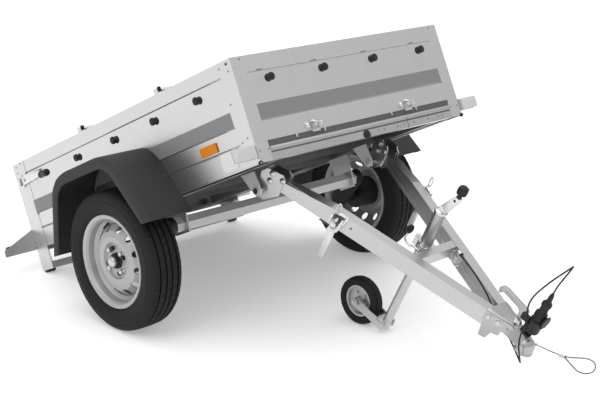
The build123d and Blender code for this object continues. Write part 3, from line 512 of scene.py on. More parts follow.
# ------------------------------------------------------------------ wheels
TYRE = [(165.6, -46), (168, -49.5), (171.5, -51.5), (178, -54), (182, -56.5), (184.4, -59.5), (185.2, -63), (187.5, -65.8),
        (191, -67), (192.5, -67.6), (194, -69.6), (196, -70.2), (205, -72.5), (216, -74.3), (228, -74.6), (229.2, -75),
        (231, -75), (232.2, -74.4), (240, -73.2), (247, -71.4), (249, -71.6), (250.6, -71), (256, -68.5), (261, -65.4),
        (265.5, -61.5), (268.6, -57.5), (270.4, -53.5), (271.2, -50), (271.6, -47), (271.9, -44.8), (264.6, -44), (264.6, -37.5),
        (272.3, -36.8), (272.8, -30), (273.2, -22), (273.3, -16.5), (264.8, -15.8), (264.8, -9.5), (273.4, -8.8), (273.5, 0)]


def tread_pitch(r, h, i, seg):
    """Sipes: thin cuts across the ribs, staggered between rows."""
    if 268.5 < r and 46 <= abs(h) <= 58:
        return r - 3.2 if i % 4 == 0 else r
    if r > 272.2 and 16.5 < abs(h) < 37 :
        return r - 2.6 if (i + (2 if h > 0 else 0)) % 6 == 0 else r
    if r > 272.2 and abs(h) < 9:
        return r - 2.2 if (i + 3) % 6 == 0 else r
    if 262 < r <= 270.6 and 50 < abs(h) < 66:
        return r - 1.6 if i % 4 == 0 else r
    return r


def tyre_mesh(bm, s):
    prof = TYRE + [(r, -h) for r, h in reversed(TYRE[:-1])]
    inner = [(166.2, 38), (181, 46), (209, 66), (245, 60.5), (257, 45), (261.5, 0), (257, -45), (245, -60.5), (209, -66), (181, -46), (166.2, -38)]
    prof = prof + inner
    seg = 288
    rings = []
    for r, h in prof:
        ring = []
        for i in range(seg):
            t = 2 * math.pi * i / seg
            rr = tread_pitch(r, h, i, seg)
            ring.append(bm.verts.new((X0 + rr * math.cos(t), s * WHEEL_Y + h, TYRE_R + rr * math.sin(t))))
        rings.append(ring)
    for A, B in zip(rings, rings[1:] + rings[:1]):
        for i in range(seg):
            j = (i + 1) % seg
            bm.faces.new((A[i], B[i], B[j], A[j]))


for side, s in (("right", -1), ("left", 1)):
    body = "wheel_" + side
    bm = bmesh.new()
    tyre_mesh(bm, s)
    finish_mesh("tyre_detail_" + side, bm, WORLD, body, "rubber", ("tyre_" + side,), 30)
    # valve, hub cap and wheel bolts
    bm = bmesh.new()
    c = Vector((X0, s * WHEEL_Y, TYRE_R))
    out = Vector((0, s, 0))
    for k in range(4):
        a = math.radians(45 + 90 * k)
        p = c + Vector((math.cos(a) * 50, 0, math.sin(a) * 50))
        lathe(bm, p + out * 34.5, out, [(0, 0), (12.5, 0), (11.5, 3), (9.2, 6.5), (8.8, 7)], 20)
        hexhead(bm, p + out * 40, out, 17, 10.5, washer=False)
    finish_mesh("wheel_bolts_" + side, bm, WORLD, body, "bolt")
    bm = bmesh.new()
    lathe(bm, c + out * 34, out, [(31, 0), (31, 8), (27.5, 10), (27, 17), (24, 19.5), (0, 19.5)], 36)
    finish_mesh("hub_barrel_" + side, bm, WORLD, body, "black")
    bm = bmesh.new()
    lathe(bm, c + out * 55, out, [(20.4, -3), (21.6, -1), (21.8, 3), (20.6, 8), (17.5, 11.4), (12, 13.2), (5, 13.9), (0, 14)], 36)
    finish_mesh("hub_cap_" + side, bm, WORLD, body, "bolt")
    bm = bmesh.new()
    a = math.radians(118)
    d = Vector((math.cos(a), 0, math.sin(a)))
    p = c + d * 150 + out * 14
    axis = (out * 0.85 - d * 0.5).normalized()
    lathe(bm, p, axis, [(0, 0), (6, 0), (5.4, 6), (4, 12), (3.4, 26), (4.2, 27), (4.2, 36), (3.4, 38), (0, 38)], 16)
    finish_mesh("valve_" + side, bm, WORLD, body, "black")

# ------------------------------------------------------------------ fenders
FENDER = [(-347, 92), (-223, 339), (-171, 376), (-118, 387), (118, 387), (171, 376), (220, 337), (335, 92)]
ARCH = [(-303, 92), (-187, 313), (-143, 337), (-110, 341), (110, 341), (143, 337), (184, 313), (292, 92)]


def open_round(pts, r, steps=10):
    out = [Vector(pts[0])]
    for i in range(1, len(pts) - 1):
        a, b, c = Vector(pts[i - 1]), Vector(pts[i]), Vector(pts[i + 1])
        da, dc = a - b, c - b
        la, lc = da.length, dc.length
        da.normalize(); dc.normalize()
        t = min(r, la * 0.46, lc * 0.46)
        for k in range(steps + 1):
            u = k / steps
            out.append((b + da * t) * (1 - u) ** 2 + b * 2 * u * (1 - u) + (b + dc * t) * u ** 2)
    out.append(Vector(pts[-1]))
    return out


for side, s in (("right", -1), ("left", 1)):
    bm = bmesh.new()
    P = open_round(FENDER, 60)
    Q = open_round(ARCH, 60)
    W = 200.5
    section = []
    # (share of the way from the outer outline to the arch, inward shift, outward distance)
    rows = [(0.0, 0.0, 0.5), (0.0, 0.0, 60), (0.0, 0.0, 120), (0.0, 0.0, 174), (0.0, 0.0, 190), (0.03, 0.0, 198), (0.10, 0.0, 204.5),
            (0.22, 0.0, 207.8), (0.38, 0.0, 208.5), (0.80, 0.0, 208.5), (0.93, 0.0, 207.4), (1.0, 0.0, 204.6), (0.97, 0.0, 202.5),
            (0.80, 0.0, 202.6), (0.30, 0.0, 202.6), (0.17, 0.0, 198), (0.115, 0.0, 188), (0.11, 0.0, 120), (0.11, 0.0, 60), (0.11, 0.0, 0.5)]
    grid = []
    for f, _, d in rows:
        grid.append([bm.verts.new((p.x * (1 - f) + q.x * f, s * (547.5 + d), p.y * (1 - f) + q.y * f)) for p, q in zip(P, Q)])
    n = len(P)
    R = len(rows)
    for i in range(R):
        j = (i + 1) % R
        for k in range(n - 1):
            bm.faces.new((grid[i][k], grid[j][k], grid[j][k + 1], grid[i][k + 1]))
    for end in (0, n - 1):
        bm.faces.new([grid[i][end] for i in range(R)])
    finish_mesh("fender_shell_" + side, bm, BOX, "box", "fender", ("fender_" + side,), 50)

# ------------------------------------------------------------------ stripes, seams, rivets
bm = bmesh.new()
for s in (-1, 1):
    y0, y1 = (547.2, 547.95)
    prism(bm, [(-712, 311.6), (700, 311.6), (700, 367), (-712, 367)], s * y0, s * y1, 0)
prism(bm, [(-487, 312), (487, 312), (487, 367), (-487, 367)], 778.8, 779.45, 0, plane="yz")
finish_mesh("stripes", bm, BOX, "box", "stripe")
bm = bmesh.new()
prism(bm, [(-487, 312), (487, 312), (487, 367), (-487, 367)], -798.45, -797.8, 0, plane="yz")
finish_mesh("gate_stripe", bm, BOX, "tailgate", "stripe")

bm = bmesh.new()
for s in (-1, 1):
    o = Vector((0, s, 0))
    y = s * 547.5
    for x, z in ((711, 522), (755, 501), (716, 392), (751, 261), (719, 252),                     # front posts
                 (-771, 528), (-772, 502), (-731, 536), (-799, 194), (-797, 176), (-747, 221), (-747, 180),   # rear posts
                 (469, 168)):
        rivet(bm, (x, y, z), o, 3.8, 1.8)
    for y2, z in ((505, 532), (534, 206), (493, 206)):
        rivet(bm, (779, s * y2, z), (1, 0, 0), 3.8, 1.8)
finish_mesh("rivets", bm, BOX, "box", "rivet")
bm = bmesh.new()
for s in (-1, 1):                                                 # panel seams, slots and stops
    y = s * 547.5
    prism(bm, [(-703.8, 66), (-701.8, 66), (-703.0, 546), (-705.0, 546)], s * 547.2, s * 547.8, 0)
    prism(bm, rounded([(747, 523), (760, 523), (760, 533), (747, 533)], 4, 3), s * 547.2, s * 547.9, 0)
    lathe(bm, (-705, y, 486), (0, s, 0), [(0, 0.5), (5.0, 0.5), (5.0, -1)], 16)
    lathe(bm, (-702, y, 303), (0, s, 0), [(0, 0.5), (5.0, 0.5), (5.0, -1)], 16)
    prism(bm, [(-700, 240.2), (690, 240.2), (690, 241.8), (-700, 241.8)], s * 547.2, s * 547.7, 0)
finish_mesh("seams", bm, BOX, "box", "line")
bm = bmesh.new()
for s in (-1, 1):                                                 # folded lip along the lower edge
    block(bm, (297, 787), (s * 547.3, s * 550.2), (162, 167), 0.8)
block(bm, (779.1, 783.5), (-484, 484), (205, 212), 0.8)
for y in (-347, -206.5, 155, 296):                                # little tabs under the front panel
    prism(bm, rounded([(y - 4, 224), (y + 4, 224), (y + 5, 240), (y - 5, 240)], 1.5, 3), 777.5, 780.5, 0.5, plane="yz")
finish_mesh("lips", bm, BOX, "box", "sheet")
# painted shade: a dark band under the lip along the front beam face and a dark line down the face
bm = bmesh.new()
block(bm, (779.05, 779.5), (-484, 484), (191, 197), 0)
prism(bm, [(229.6, 214), (232.0, 214), (225.8, 150), (223.4, 150)], 779.1, 779.6, 0, plane="yz")
finish_mesh("beam_face_shade_lines", bm, BOX, "box", "line")

# painted shadow strips inside the beads and under the folded lip over the top edge
bm = bmesh.new()
for s in (-1, 1):
    for z, x0, x1 in ((489, -690, 640), (310, -700, 650), (246, -700, 650)):
        prism(bm, [(x0, z - 1.1), (x1, z - 0.5), (x1, z + 0.5), (x0, z + 1.1)], s * 544.9, s * 545.4, 0)
finish_mesh("bead_shadow", bm, BOX, "box", "shadow")

# ------------------------------------------------------------------ tarpaulin knobs
KNOB = [(0, -0.4), (13.8, -0.4), (14.8, 1.0), (15.0, 3.4), (14.4, 5.6), (11.4, 6.9), (9.2, 8.0), (8.7, 10.4), (8.9, 13.2), (11.2, 14.8),
        (13.8, 15.9), (14.8, 18.0), (15.0, 22.2), (14.2, 25.0), (11.0, 26.6), (5.6, 27.2), (4.8, 26.2), (3.0, 25.6), (0, 25.6)]
SIDE_KNOBS = (-270.0, 9.0, 286.0, 563.0)
FRONT_KNOBS = (-402.0, -135.0, 132.0, 402.0)
KNOB_Z = 451.0
bm = bmesh.new()
for s in (-1, 1):
    for x in SIDE_KNOBS:
        lathe(bm, (x, s * 547.5, KNOB_Z), (0, s, 0), KNOB, 28)
for y in FRONT_KNOBS:
    lathe(bm, (779, y, KNOB_Z), (1, 0, 0), KNOB, 28)
finish_mesh("tarp_knob_set", bm, BOX, "box", "black", ("tarp_knobs",)).visible_glossy = False
bm = bmesh.new()
for s in (-1, 1):
    for x in SIDE_KNOBS:
        rivet(bm, (x, s * (547.5 + 25.8), KNOB_Z), (0, s, 0), 2.6, 1.2)
for y in FRONT_KNOBS:
    rivet(bm, (779 + 25.8, y, KNOB_Z), (1, 0, 0), 2.6, 1.2)
finish_mesh("tarp_knob_rivets", bm, BOX, "box", "black_steel")
bm = bmesh.new()
for y in FRONT_KNOBS:                                          # slots above the front knobs, on the bead
    prism(bm, rounded([(y - 42, 484), (y - 11, 484), (y - 11, 487), (y - 42, 487)], 1.2, 3), 779.05, 779.5, 0, plane="yz")
finish_mesh("front_slots", bm, BOX, "box", "line")

# ------------------------------------------------------------------ lashing eyes: base plate, bolts and a bow
bm = bmesh.new()
for s in (-1, 1):
    yc = s * 251.0
    prism(bm, rounded([(yc - 46, 250), (yc - 40, 241), (yc + 40, 241), (yc + 46, 250), (yc + 46, 262), (yc + 36, 270), (yc - 36, 270), (yc - 46, 262)], 6, 3),
          779.1, 782.6, 0.8, plane="yz")
    for dy in (-34, 34):
        lathe(bm, (782.4, yc + dy, 256), (1, 0, 0), [(9, 0), (9, 2), (7.6, 4.6), (4.5, 6.6), (0, 7.4)], 20)
    bow = smooth_line([(784, yc - 24, 266), (796, yc - 20, 268), (804, yc - 10, 262), (806, yc, 258), (804, yc + 10, 262), (796, yc + 20, 268), (784, yc + 24, 266)], 6)
    tube_path(bm, bow, 3.4, 12)
finish_mesh("eye_plates", bm, BOX, "box", "zinc")
bm = bmesh.new()
block(bm, (776.0, 777.0), (-484, 484), (214.5, 235.5), 0)
finish_mesh("recess_shade", bm, BOX, "box", "line")
bm = bmesh.new()                                                  # plugs in the tarpaulin bow sockets
for x in (322, -232):
    for s in (-1, 1):
        block(bm, (x + 13.2, x + 17), (s * 525.5, s * 541.5), (549.5, 568), 1.5)
finish_mesh("bow_plugs", bm, BOX, "box", "black")

# ------------------------------------------------------------------ tailgate latches
bm = bmesh.new()
for s in (-1, 1):
    prism(bm, rounded([(-767, 434), (-741, 432.5), (-739, 487), (-767, 487)], 4, 3), s * 547.5, s * 551.5, 0.8)
    prism(bm, rounded([(-752, 440), (-700, 443.5), (-596, 448), (-584, 480), (-702, 481.6), (-740, 476)], 5, 3), s * 551.5, s * 557, 1.0)
    prism(bm, rounded([(-762, 441), (-752, 441), (-752, 479), (-762, 479)], 3, 3), s * 551, s * 562, 1.0)
    cyl(bm, (-722, s * 556.5, 462), (0, s, 0), 7, 5, 20, 1.0)
finish_mesh("latch_straps", bm, BOX, "box", "zinc", ("gate_latches",))
bm = bmesh.new()
for s in (-1, 1):
    y = s * 560.5
    lathe(bm, (-578, y, 451), (1, 0, 0), [(0, 0), (11, 0), (13.5, 2), (14, 8), (12.6, 16), (12.4, 22), (13.6, 30), (15.2, 40), (15.4, 50), (14, 57), (9, 60.5), (0, 61)], 28)
finish_mesh("latch_grips", bm, BOX, "box", "black").visible_glossy = False

# ------------------------------------------------------------------ lamps and reflectors
bm = bmesh.new()
for s in (-1, 1):
    block(bm, (763.5, 790), (s * (547.5 + 11), s * (547.5 + 100)), (183.5, 228.5), 3.0, 3)
finish_mesh("front_lamp_lens", bm, BOX, "box", "clear", ("front_markers",))
bm = bmesh.new()
for s in (-1, 1):
    block(bm, (764.5, 768.5), (s * 547.5, s * 560), (187, 225), 0.8)
    block(bm, (762.2, 765.2), (s * 552, s * 649), (181.5, 230.5), 1.0)
finish_mesh("front_lamp_base", bm, BOX, "box", "frame")

bm = bmesh.new()
for s in (-1, 1):
    block(bm, (-835, -822), (s * 559, s * 612), (166.5, 205.5), 2.5, 3)
finish_mesh("rear_lens_red", bm, BOX, "box", "red", ("rear_lamps",))
bm = bmesh.new()
for s in (-1, 1):
    block(bm, (-835, -822), (s * 613, s * 645), (166.5, 205.5), 2.5, 3)
finish_mesh("rear_lens_amber", bm, BOX, "box", "amber")
bm = bmesh.new()
for s in (-1, 1):
    block(bm, (-835, -822), (s * 646, s * 677.5), (166.5, 205.5), 2.5, 3)
finish_mesh("rear_lens_clear", bm, BOX, "box", "clear")
bm = bmesh.new()
for s in (-1, 1):
    block(bm, (-823, -801.2), (s * 558.2, s * 677.8), (165.2, 206.8), 3.0, 3)
finish_mesh("rear_lamp_body", bm, BOX, "box", "black")
bm = bmesh.new()
for s in (-1, 1):
    block(bm, (484.5, 579.5), (s * 547.6, s * 554.4), (254.5, 289.5), 2.0, 3)
finish_mesh("side_reflector_lens", bm, BOX, "box", "amber", ("side_reflectors",))

# ------------------------------------------------------------------ plate with blank field
bm = bmesh.new()
block(bm, (577.5, 665.5), (-547.6, -549.4), (175.5, 241.5), 0.4, 1)
finish_mesh("blank_plate", bm, BOX, "box", "plate", ("data_plate",))
bm = bmesh.new()
for x in (582, 661):
    for z in (180, 237):
        rivet(bm, (x, -549.3, z), (0, -1, 0), 2.2, 1.0)
finish_mesh("plate_rivets", bm, BOX, "box", "zinc")

# ------------------------------------------------------------------ drawbar fittings
bm = bmesh.new()
for s in (-1, 1):
    for t, n in ((16, 89), (17, 55), (64, 84)):               # root plate bolts
        p = arm_point(s, t, 5, n)
        lathe(bm, p, side_normal(s), [(12.5, -0.4), (12.5, 1.4), (10.5, 3.6), (7.4, 6.4), (4, 8), (0, 8.6)], 24)
        q = arm_point(s, t, -47, n)
        hexhead(bm, q, [-c for c in side_normal(s)], 17, 9)
    for t in (955, 994):                                       # coupling bolts
        p = arm_point(s, t, 5, 85)
        hexhead(bm, p, side_normal(s), 19, 10)
finish_mesh("drawbar_bolts", bm, BAR, "drawbar", "bolt")

bm = bmesh.new()                                                  # painted shade lines along both arms, standing in for the tube's rounded top corner
for s in (-1, 1):
    on_arm(bm, s, [(80, 88.4), (930, 88.4), (930, 89.6), (80, 89.6)], 0.05, 0.3, 0)
finish_mesh("arm_corner_shade_lines", bm, BAR, "drawbar", "bolt")
# painted highlight: bright strips along the inner faces of both arms
bm = bmesh.new()
for s in (-1, 1):
    on_arm(bm, s, [(90, 56), (880, 56), (880, 58.4), (90, 58.4)], -ARM_W - 0.5, -ARM_W - 0.05, 0)
finish_mesh("arm_inner_highlight_lines", bm, BAR, "drawbar", "zinc")

bm = bmesh.new()
for y in (60, 92, 168, 205, 262, 345, 405, 430):                  # beam face holes and bolts
    rivet(bm, (779, y, 180), (1, 0, 0), 4.0, 1.6)
finish_mesh("beam_rivets", bm, BOX, "box", "rivet")
bm = bmesh.new()
lathe(bm, (779, -6, 175), (1, 0, 0), [(0, -0.3), (17, -0.3), (17, 3), (14, 5), (9, 6), (0, 6)], 28)
lathe(bm, (774, -545, 165), (1, 0, 0), [(0, -0.3), (8, -0.3), (8, 7), (5, 9), (0, 9)], 20)
lathe(bm, (774, 545, 165), (1, 0, 0), [(0, -0.3), (8, -0.3), (8, 7), (5, 9), (0, 9)], 20)
finish_mesh("grommets", bm, BOX, "box", "black")

# drawbar locks: a clamp on each arm with a hanging bar, a pull ring, a spring and its keeper
for side, s in (("right", -1), ("left", 1)):
    bm = bmesh.new()
    nv = Vector(side_normal(s))

    def P(t, off, n):
        return arm_point(s, t, off, n)
    on_arm(bm, s, rounded([(296, 26), (330, 26), (352, 104), (318, 108), (292, 92)], 4, 3), 0.2, 2.4, 0.6)
    on_arm(bm, s, rounded([(297, -99), (325, -99), (325, 52), (297, 52)], [3, 3, 10, 10], 4), 9, 17, 1.4)
    on_arm(bm, s, rounded([(292, 20), (334, 34), (342, 92), (336, 98), (326, 46), (298, 42)], 4, 3), 17, 22, 0.8)
    on_arm(bm, s, rounded([(284, 52), (292, 52), (300, 98), (292, 98)], 3, 3), 4, 26, 0.8)
    cyl(bm, P(311, 8, 60), nv, 8, 20, 20, 1.2)
    cyl(bm, P(316, 8, 84), nv, 6, 19, 20, 1.2)
    hexhead(bm, P(311, 26, 60), nv, 15, 6)
    for k in range(5):
        a0 = P(300 + 4 * k, 20, 70 + 2 * k)
        lathe(bm, a0, arm_point(s, 1, 0, 0.5) - arm_point(s, 0, 0, 0), [(6.4, -1.2), (7.6, 0), (6.4, 1.2), (5.2, 0)], 16, closed=True)
    ring = [P(306 + 9 * math.cos(a), 18, 128 + 20 * math.sin(a)) for a in (2 * math.pi * k / 28 for k in range(29))]
    tube_path(bm, ring, 2.6, 10, False)
    wire = smooth_line([P(298, 19, 112), P(294, 23, 92), P(296, 26, 70), P(304, 27, 46), P(318, 26, 38), P(326, 24, 50)], 8)
    tube_path(bm, wire, 2.0, 8)
    finish_mesh("lock_detail_" + side, bm, BAR, "drawbar", "zinc", ("bar_locks",) if side == "right" else ())
    bm = bmesh.new()
    on_arm(bm, s, rounded([(298, 56), (332, 62), (336, 96), (304, 92)], 4, 3), 2.2, 3.4, 0)
    lathe(bm, P(372, 0, 70), nv, [(0, 0.4), (4.5, 0.4), (4.5, -1)], 16)
    on_arm(bm, s, rounded([(246, 26), (292, 26), (292, 30), (246, 30)], 1.8, 3), 0, 0.5, 0)
    finish_mesh("lock_shade_" + side, bm, BAR, "drawbar", "line")

# jockey clamp: two bolt heads, pinch bolt and its lever
bm = bmesh.new()
S = JOCKEY_S
for n in (62, 86):
    hexhead(bm, (S + 24, -22, n), (0, -1, 0), 13, 7)
cyl(bm, (S + 10, -29, 74), (0, -1, 0), 6.5, 26, 20, 1.0)
lever = smooth_line([(S + 10, -44, 74), (S - 14, -44, 72), (S - 32, -45, 66), (S - 50, -46, 67), (S - 62, -46, 78), (S - 60, -46, 96), (S - 56, -46, 112)], 6)
tube_path(bm, lever, 4.0, 12)
finish_mesh("clamp_lever", bm, BAR, "drawbar", "zinc")
bm = bmesh.new()
lathe(bm, (S - 60, -46, 104), (0.12, 0, 1), [(0, 0), (7, 1), (11, 8), (12.5, 18), (12, 27), (9, 34), (4, 37), (0, 37.6)], 24)
finish_mesh("lever_knob", bm, BAR, "drawbar", "black")

# jockey crank: round stem, cranked arm and grip
bm = bmesh.new()
lathe(bm, (S, 0, 236), (0, 0, 1), [(0, 0), (26, 0), (26, 4), (24.5, 6.5), (17, 8.5), (13, 12), (13, 20), (0, 20)], 36)
prism(bm, rounded([(S - 14, 250), (S + 19, 240), (S + 52, 322), (S + 48, 334), (S + 28, 334), (S + 18, 318)], [8, 8, 6, 6, 6, 8], 4), -12, 12, 5.0, 4)
lathe(bm, (S + 2, -14, 254), (0, 1, 0), [(0, 0), (11, 0), (12.5, 1.5), (12.5, 26.5), (11, 28), (0, 28)], 28)
finish_mesh("crank_detail", bm, BAR, "drawbar", "zinc", ("jockey_crank",))
bm = bmesh.new()
lathe(bm, (S + 34, 0, 314), (0.16, 0, 1), [(0, 0), (12.5, 0), (13.5, 4), (11.5, 14), (9.6, 24), (9.6, 36), (0, 36)], 24)
lathe(bm, (S + 38, 0, 348), (0.08, 0, 1), [(0, 0), (12, 0), (17, 3), (19.4, 8), (19.8, 15), (19.4, 24), (17.4, 31), (13, 35.4), (7, 37.4), (0, 37.8)], 32)
for k in range(6):
    a0 = 2 * math.pi * k / 6
    lathe(bm, (S + 39 + 15.4 * math.cos(a0), 15.4 * math.sin(a0), 351), (0.08, 0, 1), [(0, 0), (4, 1), (5.4, 5), (5.6, 14), (5.2, 24), (3.4, 29), (0, 30)], 14)
finish_mesh("crank_knob", bm, BAR, "drawbar", "black", ("crank_grip",))

# jockey wheel
jc = Vector((WHEEL_S, 0, WHEEL_N))
bm = bmesh.new()
JT = [(62.2, -18), (65, -20.5), (70, -22.6), (77, -24.2), (84, -24.9), (87.5, -24), (90.5, -21.8), (92.6, -18), (93.2, -14), (91.6, -12.6), (91.6, -10.4), (94.2, -9.4),
      (94.9, -5), (95, 0)]
JT = JT + [(r, -h) for r, h in reversed(JT[:-1])]
lathe(bm, jc, (0, 1, 0), JT, 96, closed=True)
finish_mesh("jockey_tyre_detail", bm, BAR, "jockey_wheel", "rubber", ("jockey_tyre",), 30)
bm = bmesh.new()
for s in (-1, 1):
    o = Vector((0, s, 0))
    for k in range(5):
        a = 2 * math.pi * k / 5
        hexhead(bm, jc + o * 9 + Vector((math.cos(a) * 34, 0, math.sin(a) * 34)), o, 8, 4.5)
finish_mesh("jockey_rim_bolts", bm, BAR, "jockey_wheel", "bolt")
FT = -296.0                                                       # the fork, hung from a sleeve under the leg
bm = bmesh.new()
lathe(bm, (JOCKEY_S, 0, FT - 41), (0, 0, 1), [(0, 0), (16.4, 0), (17.4, 1), (17.4, 39), (16.8, 40), (0, 40)], 36)
block(bm, (JOCKEY_S - 32, JOCKEY_S + 6), (-34, 34), (FT - 14, FT - 8), 1.5)
for y in (-34, 29):
    prism(bm, rounded([(JOCKEY_S + 12, FT - 9), (JOCKEY_S - 30, FT - 8), (WHEEL_S - 6, WHEEL_N + 19), (WHEEL_S - 17, WHEEL_N - 2), (WHEEL_S - 2, WHEEL_N - 18), (JOCKEY_S + 4, FT - 41),
                           (JOCKEY_S + 14, FT - 38)], [4, 10, 12, 14, 14, 5, 5], 4), y, y + 5, 1.2)
cyl(bm, (WHEEL_S, -42, WHEEL_N), (0, 1, 0), 7, 84, 24, 1.0)
finish_mesh("fork_detail", bm, BAR, "jockey_fork", "satin", ("jockey_fork",))
bm = bmesh.new()
for s in (-1, 1):
    hexhead(bm, jc + Vector((0, s * 38, 0)), (0, s, 0), 19, 9)
finish_mesh("jockey_axle_nuts", bm, BAR, "jockey_fork", "bolt")

# coupling head: a pressed channel over the tube ends, closing to the ball cup
def channel(sec):
    out = []
    s0, wt, wb, nt, nb = sec
    r = 9.0
    pts = [(-wb, nb), (-(wt + (wb - wt) * 0.45), nb + (nt - nb) * 0.5), (-wt, nt - r), (-wt + 0.3 * r, nt - 0.3 * r), (-wt + r, nt), (-wt * 0.4, nt + 1.5)]
    pts = pts + [(-y, n) for y, n in reversed(pts)]
    inner = [(y * (1 - 4.0 / max(abs(y), 8)) if abs(y) > 6 else y, n - (4.0 if n > nb + 6 else 0)) for y, n in reversed(pts)]
    return [(s0, y, n) for y, n in pts + inner]


bm = bmesh.new()
CH = ((898, 57.0, 61.5, 105, 63), (920, 50.5, 55, 105.2, 63), (945, 43, 48.5, 105.5, 62), (970, 33, 40, 106, 61), (990, 25, 36, 106, 60), (1010, 21.5, 34.5, 105.5, 58),
      (1035, 20, 33.5, 104, 57), (1052, 19, 33, 99, 54), (1066, 17.5, 32.5, 94, 50))
loft(bm, [channel(c) for c in CH])
cup = [(34.5, 38), (35.2, 40), (34.6, 43.4), (32.8, 45), (32.6, 62), (31.4, 70), (27.8, 79), (21, 86.8), (12, 92), (0, 94.4), (0, 88), (11, 85), (19, 79), (24, 71), (25.6, 62), (25.6, 38)]
lathe(bm, (1064, 0, 0), (0, 0, 1), cup, 48)
for s in (-1, 1):
    on_arm(bm, s, rounded([(941, 62), (941, 101), (1045, 101), (1058, 86), (1058, 57), (1016, 61)], [2, 5, 5, 6, 3, 3], 4), 0.3, 5, 1.0)
    on_arm(bm, s, rounded([(944, 66), (944, 34), (950, -9), (978, -5), (988, 28), (1015, 32), (1018, 66)], [0, 6, 8, 8, 10, 8, 0], 4), 0.2, 2.6, 0.6)
back = Vector((30.2, -45.0, 22.1)).normalized()
inv = BAR.inverted()
sleeve = [inv @ ((Vector((1132.771, 47.0, 127.9)) + back * k) * 0.001) for k in (0, 3, 3.5, 20, 36)]
tube_path(bm, sleeve, [5.2, 5.2, 4.6, 4.6, 4.6], 20)
finish_mesh("coupling_detail", bm, BAR, "drawbar", "cast", ("coupling_head",), 32)
# painted shadow: a dark plate for the slot on top of the coupling and dark discs on both sides
bm = bmesh.new()
prism(bm, rounded([(1036, -9), (1062, -7), (1062, 7), (1036, 9)], 4, 4), 103.2, 104.8, 0, plane="xy")
for s in (-1, 1):
    lathe(bm, arm_point(s, 1033, 5.1, 78), side_normal(s), [(0, 0.3), (5.5, 0.3), (5.5, -1)], 18)
finish_mesh("coupling_slot_shadow", bm, BAR, "drawbar", "shadow")

# coupling handle and its pivot
bm = bmesh.new()
HANDLE = rounded([(1004, 105.2), (1006, 150), (1015, 160), (1015, 175), (1004, 181.5), (902, 191), (885, 187), (875, 172), (880, 154), (891, 157),
                  (893, 168), (972, 160.5), (982, 150), (984, 105.2)], [0, 14, 8, 8, 8, 14, 12, 10, 5, 5, 8, 10, 10, 0], 4)
prism(bm, HANDLE, -5.2, 5.2, 1.6, 3)
prism(bm, rounded([(905, 172), (995, 164), (997, 172), (907, 180)], 3, 3), -6.4, 6.4, 0.8)
finish_mesh("handle_detail", bm, BAR, "drawbar", "cast", ("coupling_handle",))
bm = bmesh.new()
cyl(bm, (993, -12, 120), (0, 1, 0), 4.5, 24, 20, 0.8)
hexhead(bm, (993, -12, 120), (0, -1, 0), 11, 5)
hexhead(bm, (993, 12, 120), (0, 1, 0), 11, 5)
for y in (-9.5, 6.5):
    prism(bm, rounded([(974, 105.2), (1012, 105.2), (1002, 128), (984, 128)], [0, 0, 7, 7], 4), y, y + 3, 0.5)
finish_mesh("handle_pivot", bm, BAR, "drawbar", "zinc")

# plug, holder and lid
PS = 1055.0
bm = bmesh.new()
lathe(bm, (PS, 0, 178), (0, 0, 1), [(0, 0), (22.5, 0), (22.5, 3), (21, 4.5), (21, 9), (22.5, 10.5), (22.5, 16), (21, 17.5), (21, 22), (22.5, 23.5), (22.5, 30),
                                    (20.5, 33.5), (16.5, 36), (15.6, 40), (15.6, 60), (18, 63), (18.6, 67), (18.6, 75), (16, 79), (11.4, 83), (9.6, 88), (9.6, 92), (8.4, 93),
                                    (8.4, 96), (9.2, 97), (9.2, 101), (7.8, 102), (7.8, 105), (8.4, 106), (8.4, 110), (6.6, 112), (6.4, 116), (5.0, 119), (4.8, 120), (0, 120)], 40)
for k in range(14):
    a = 2 * math.pi * k / 14
    p0 = Vector((PS + 21 * math.cos(a), 21 * math.sin(a), 181))
    cyl(bm, p0, (0, 0, 1), 1.8, 25, 8, 0.5)
plug = finish_mesh("plug_detail", bm, BAR, "drawbar", "black", ("lead_plug",), 40)
bm = bmesh.new()
lathe(bm, (PS, 0, 122), (0, 0, 1), [(0, 0), (19, 0), (22.5, 1.5), (24.5, 5), (25, 10), (25, 44), (26.4, 46), (26.6, 50), (26.4, 54), (25, 56), (0, 56)], 44)
prism(bm, rounded([(1018, 104), (1038, 104), (1048, 122), (1048, 168), (1034, 160), (1026, 140)], [0, 0, 6, 4, 6, 6], 4), -12, 12, 2.0, 3)
block(bm, (1003, 1037), (-25, -11), (150, 176), 2.0, 3)
lathe(bm, (1082, 0, 190), (1, 0, 0), [(0, 0.5), (20, 0.5), (21.5, 0), (23, 1), (23.2, 4), (22, 5.4), (18, 6), (0, 6)], 40)
block(bm, (1078, 1085), (-9, 9), (160, 178), 1.2)
cyl(bm, (1084, -12, 166), (0, 1, 0), 3.5, 24, 14, 0.6)
finish_mesh("holder_detail", bm, BAR, "drawbar", "black", ("plug_holder",), 40)

bm = bmesh.new()                                                  # clip that lets the lead go, on the left tube's inner face
def left_inside(t, off, n):
    return arm_point(1, t, -ARM_W - off, n)


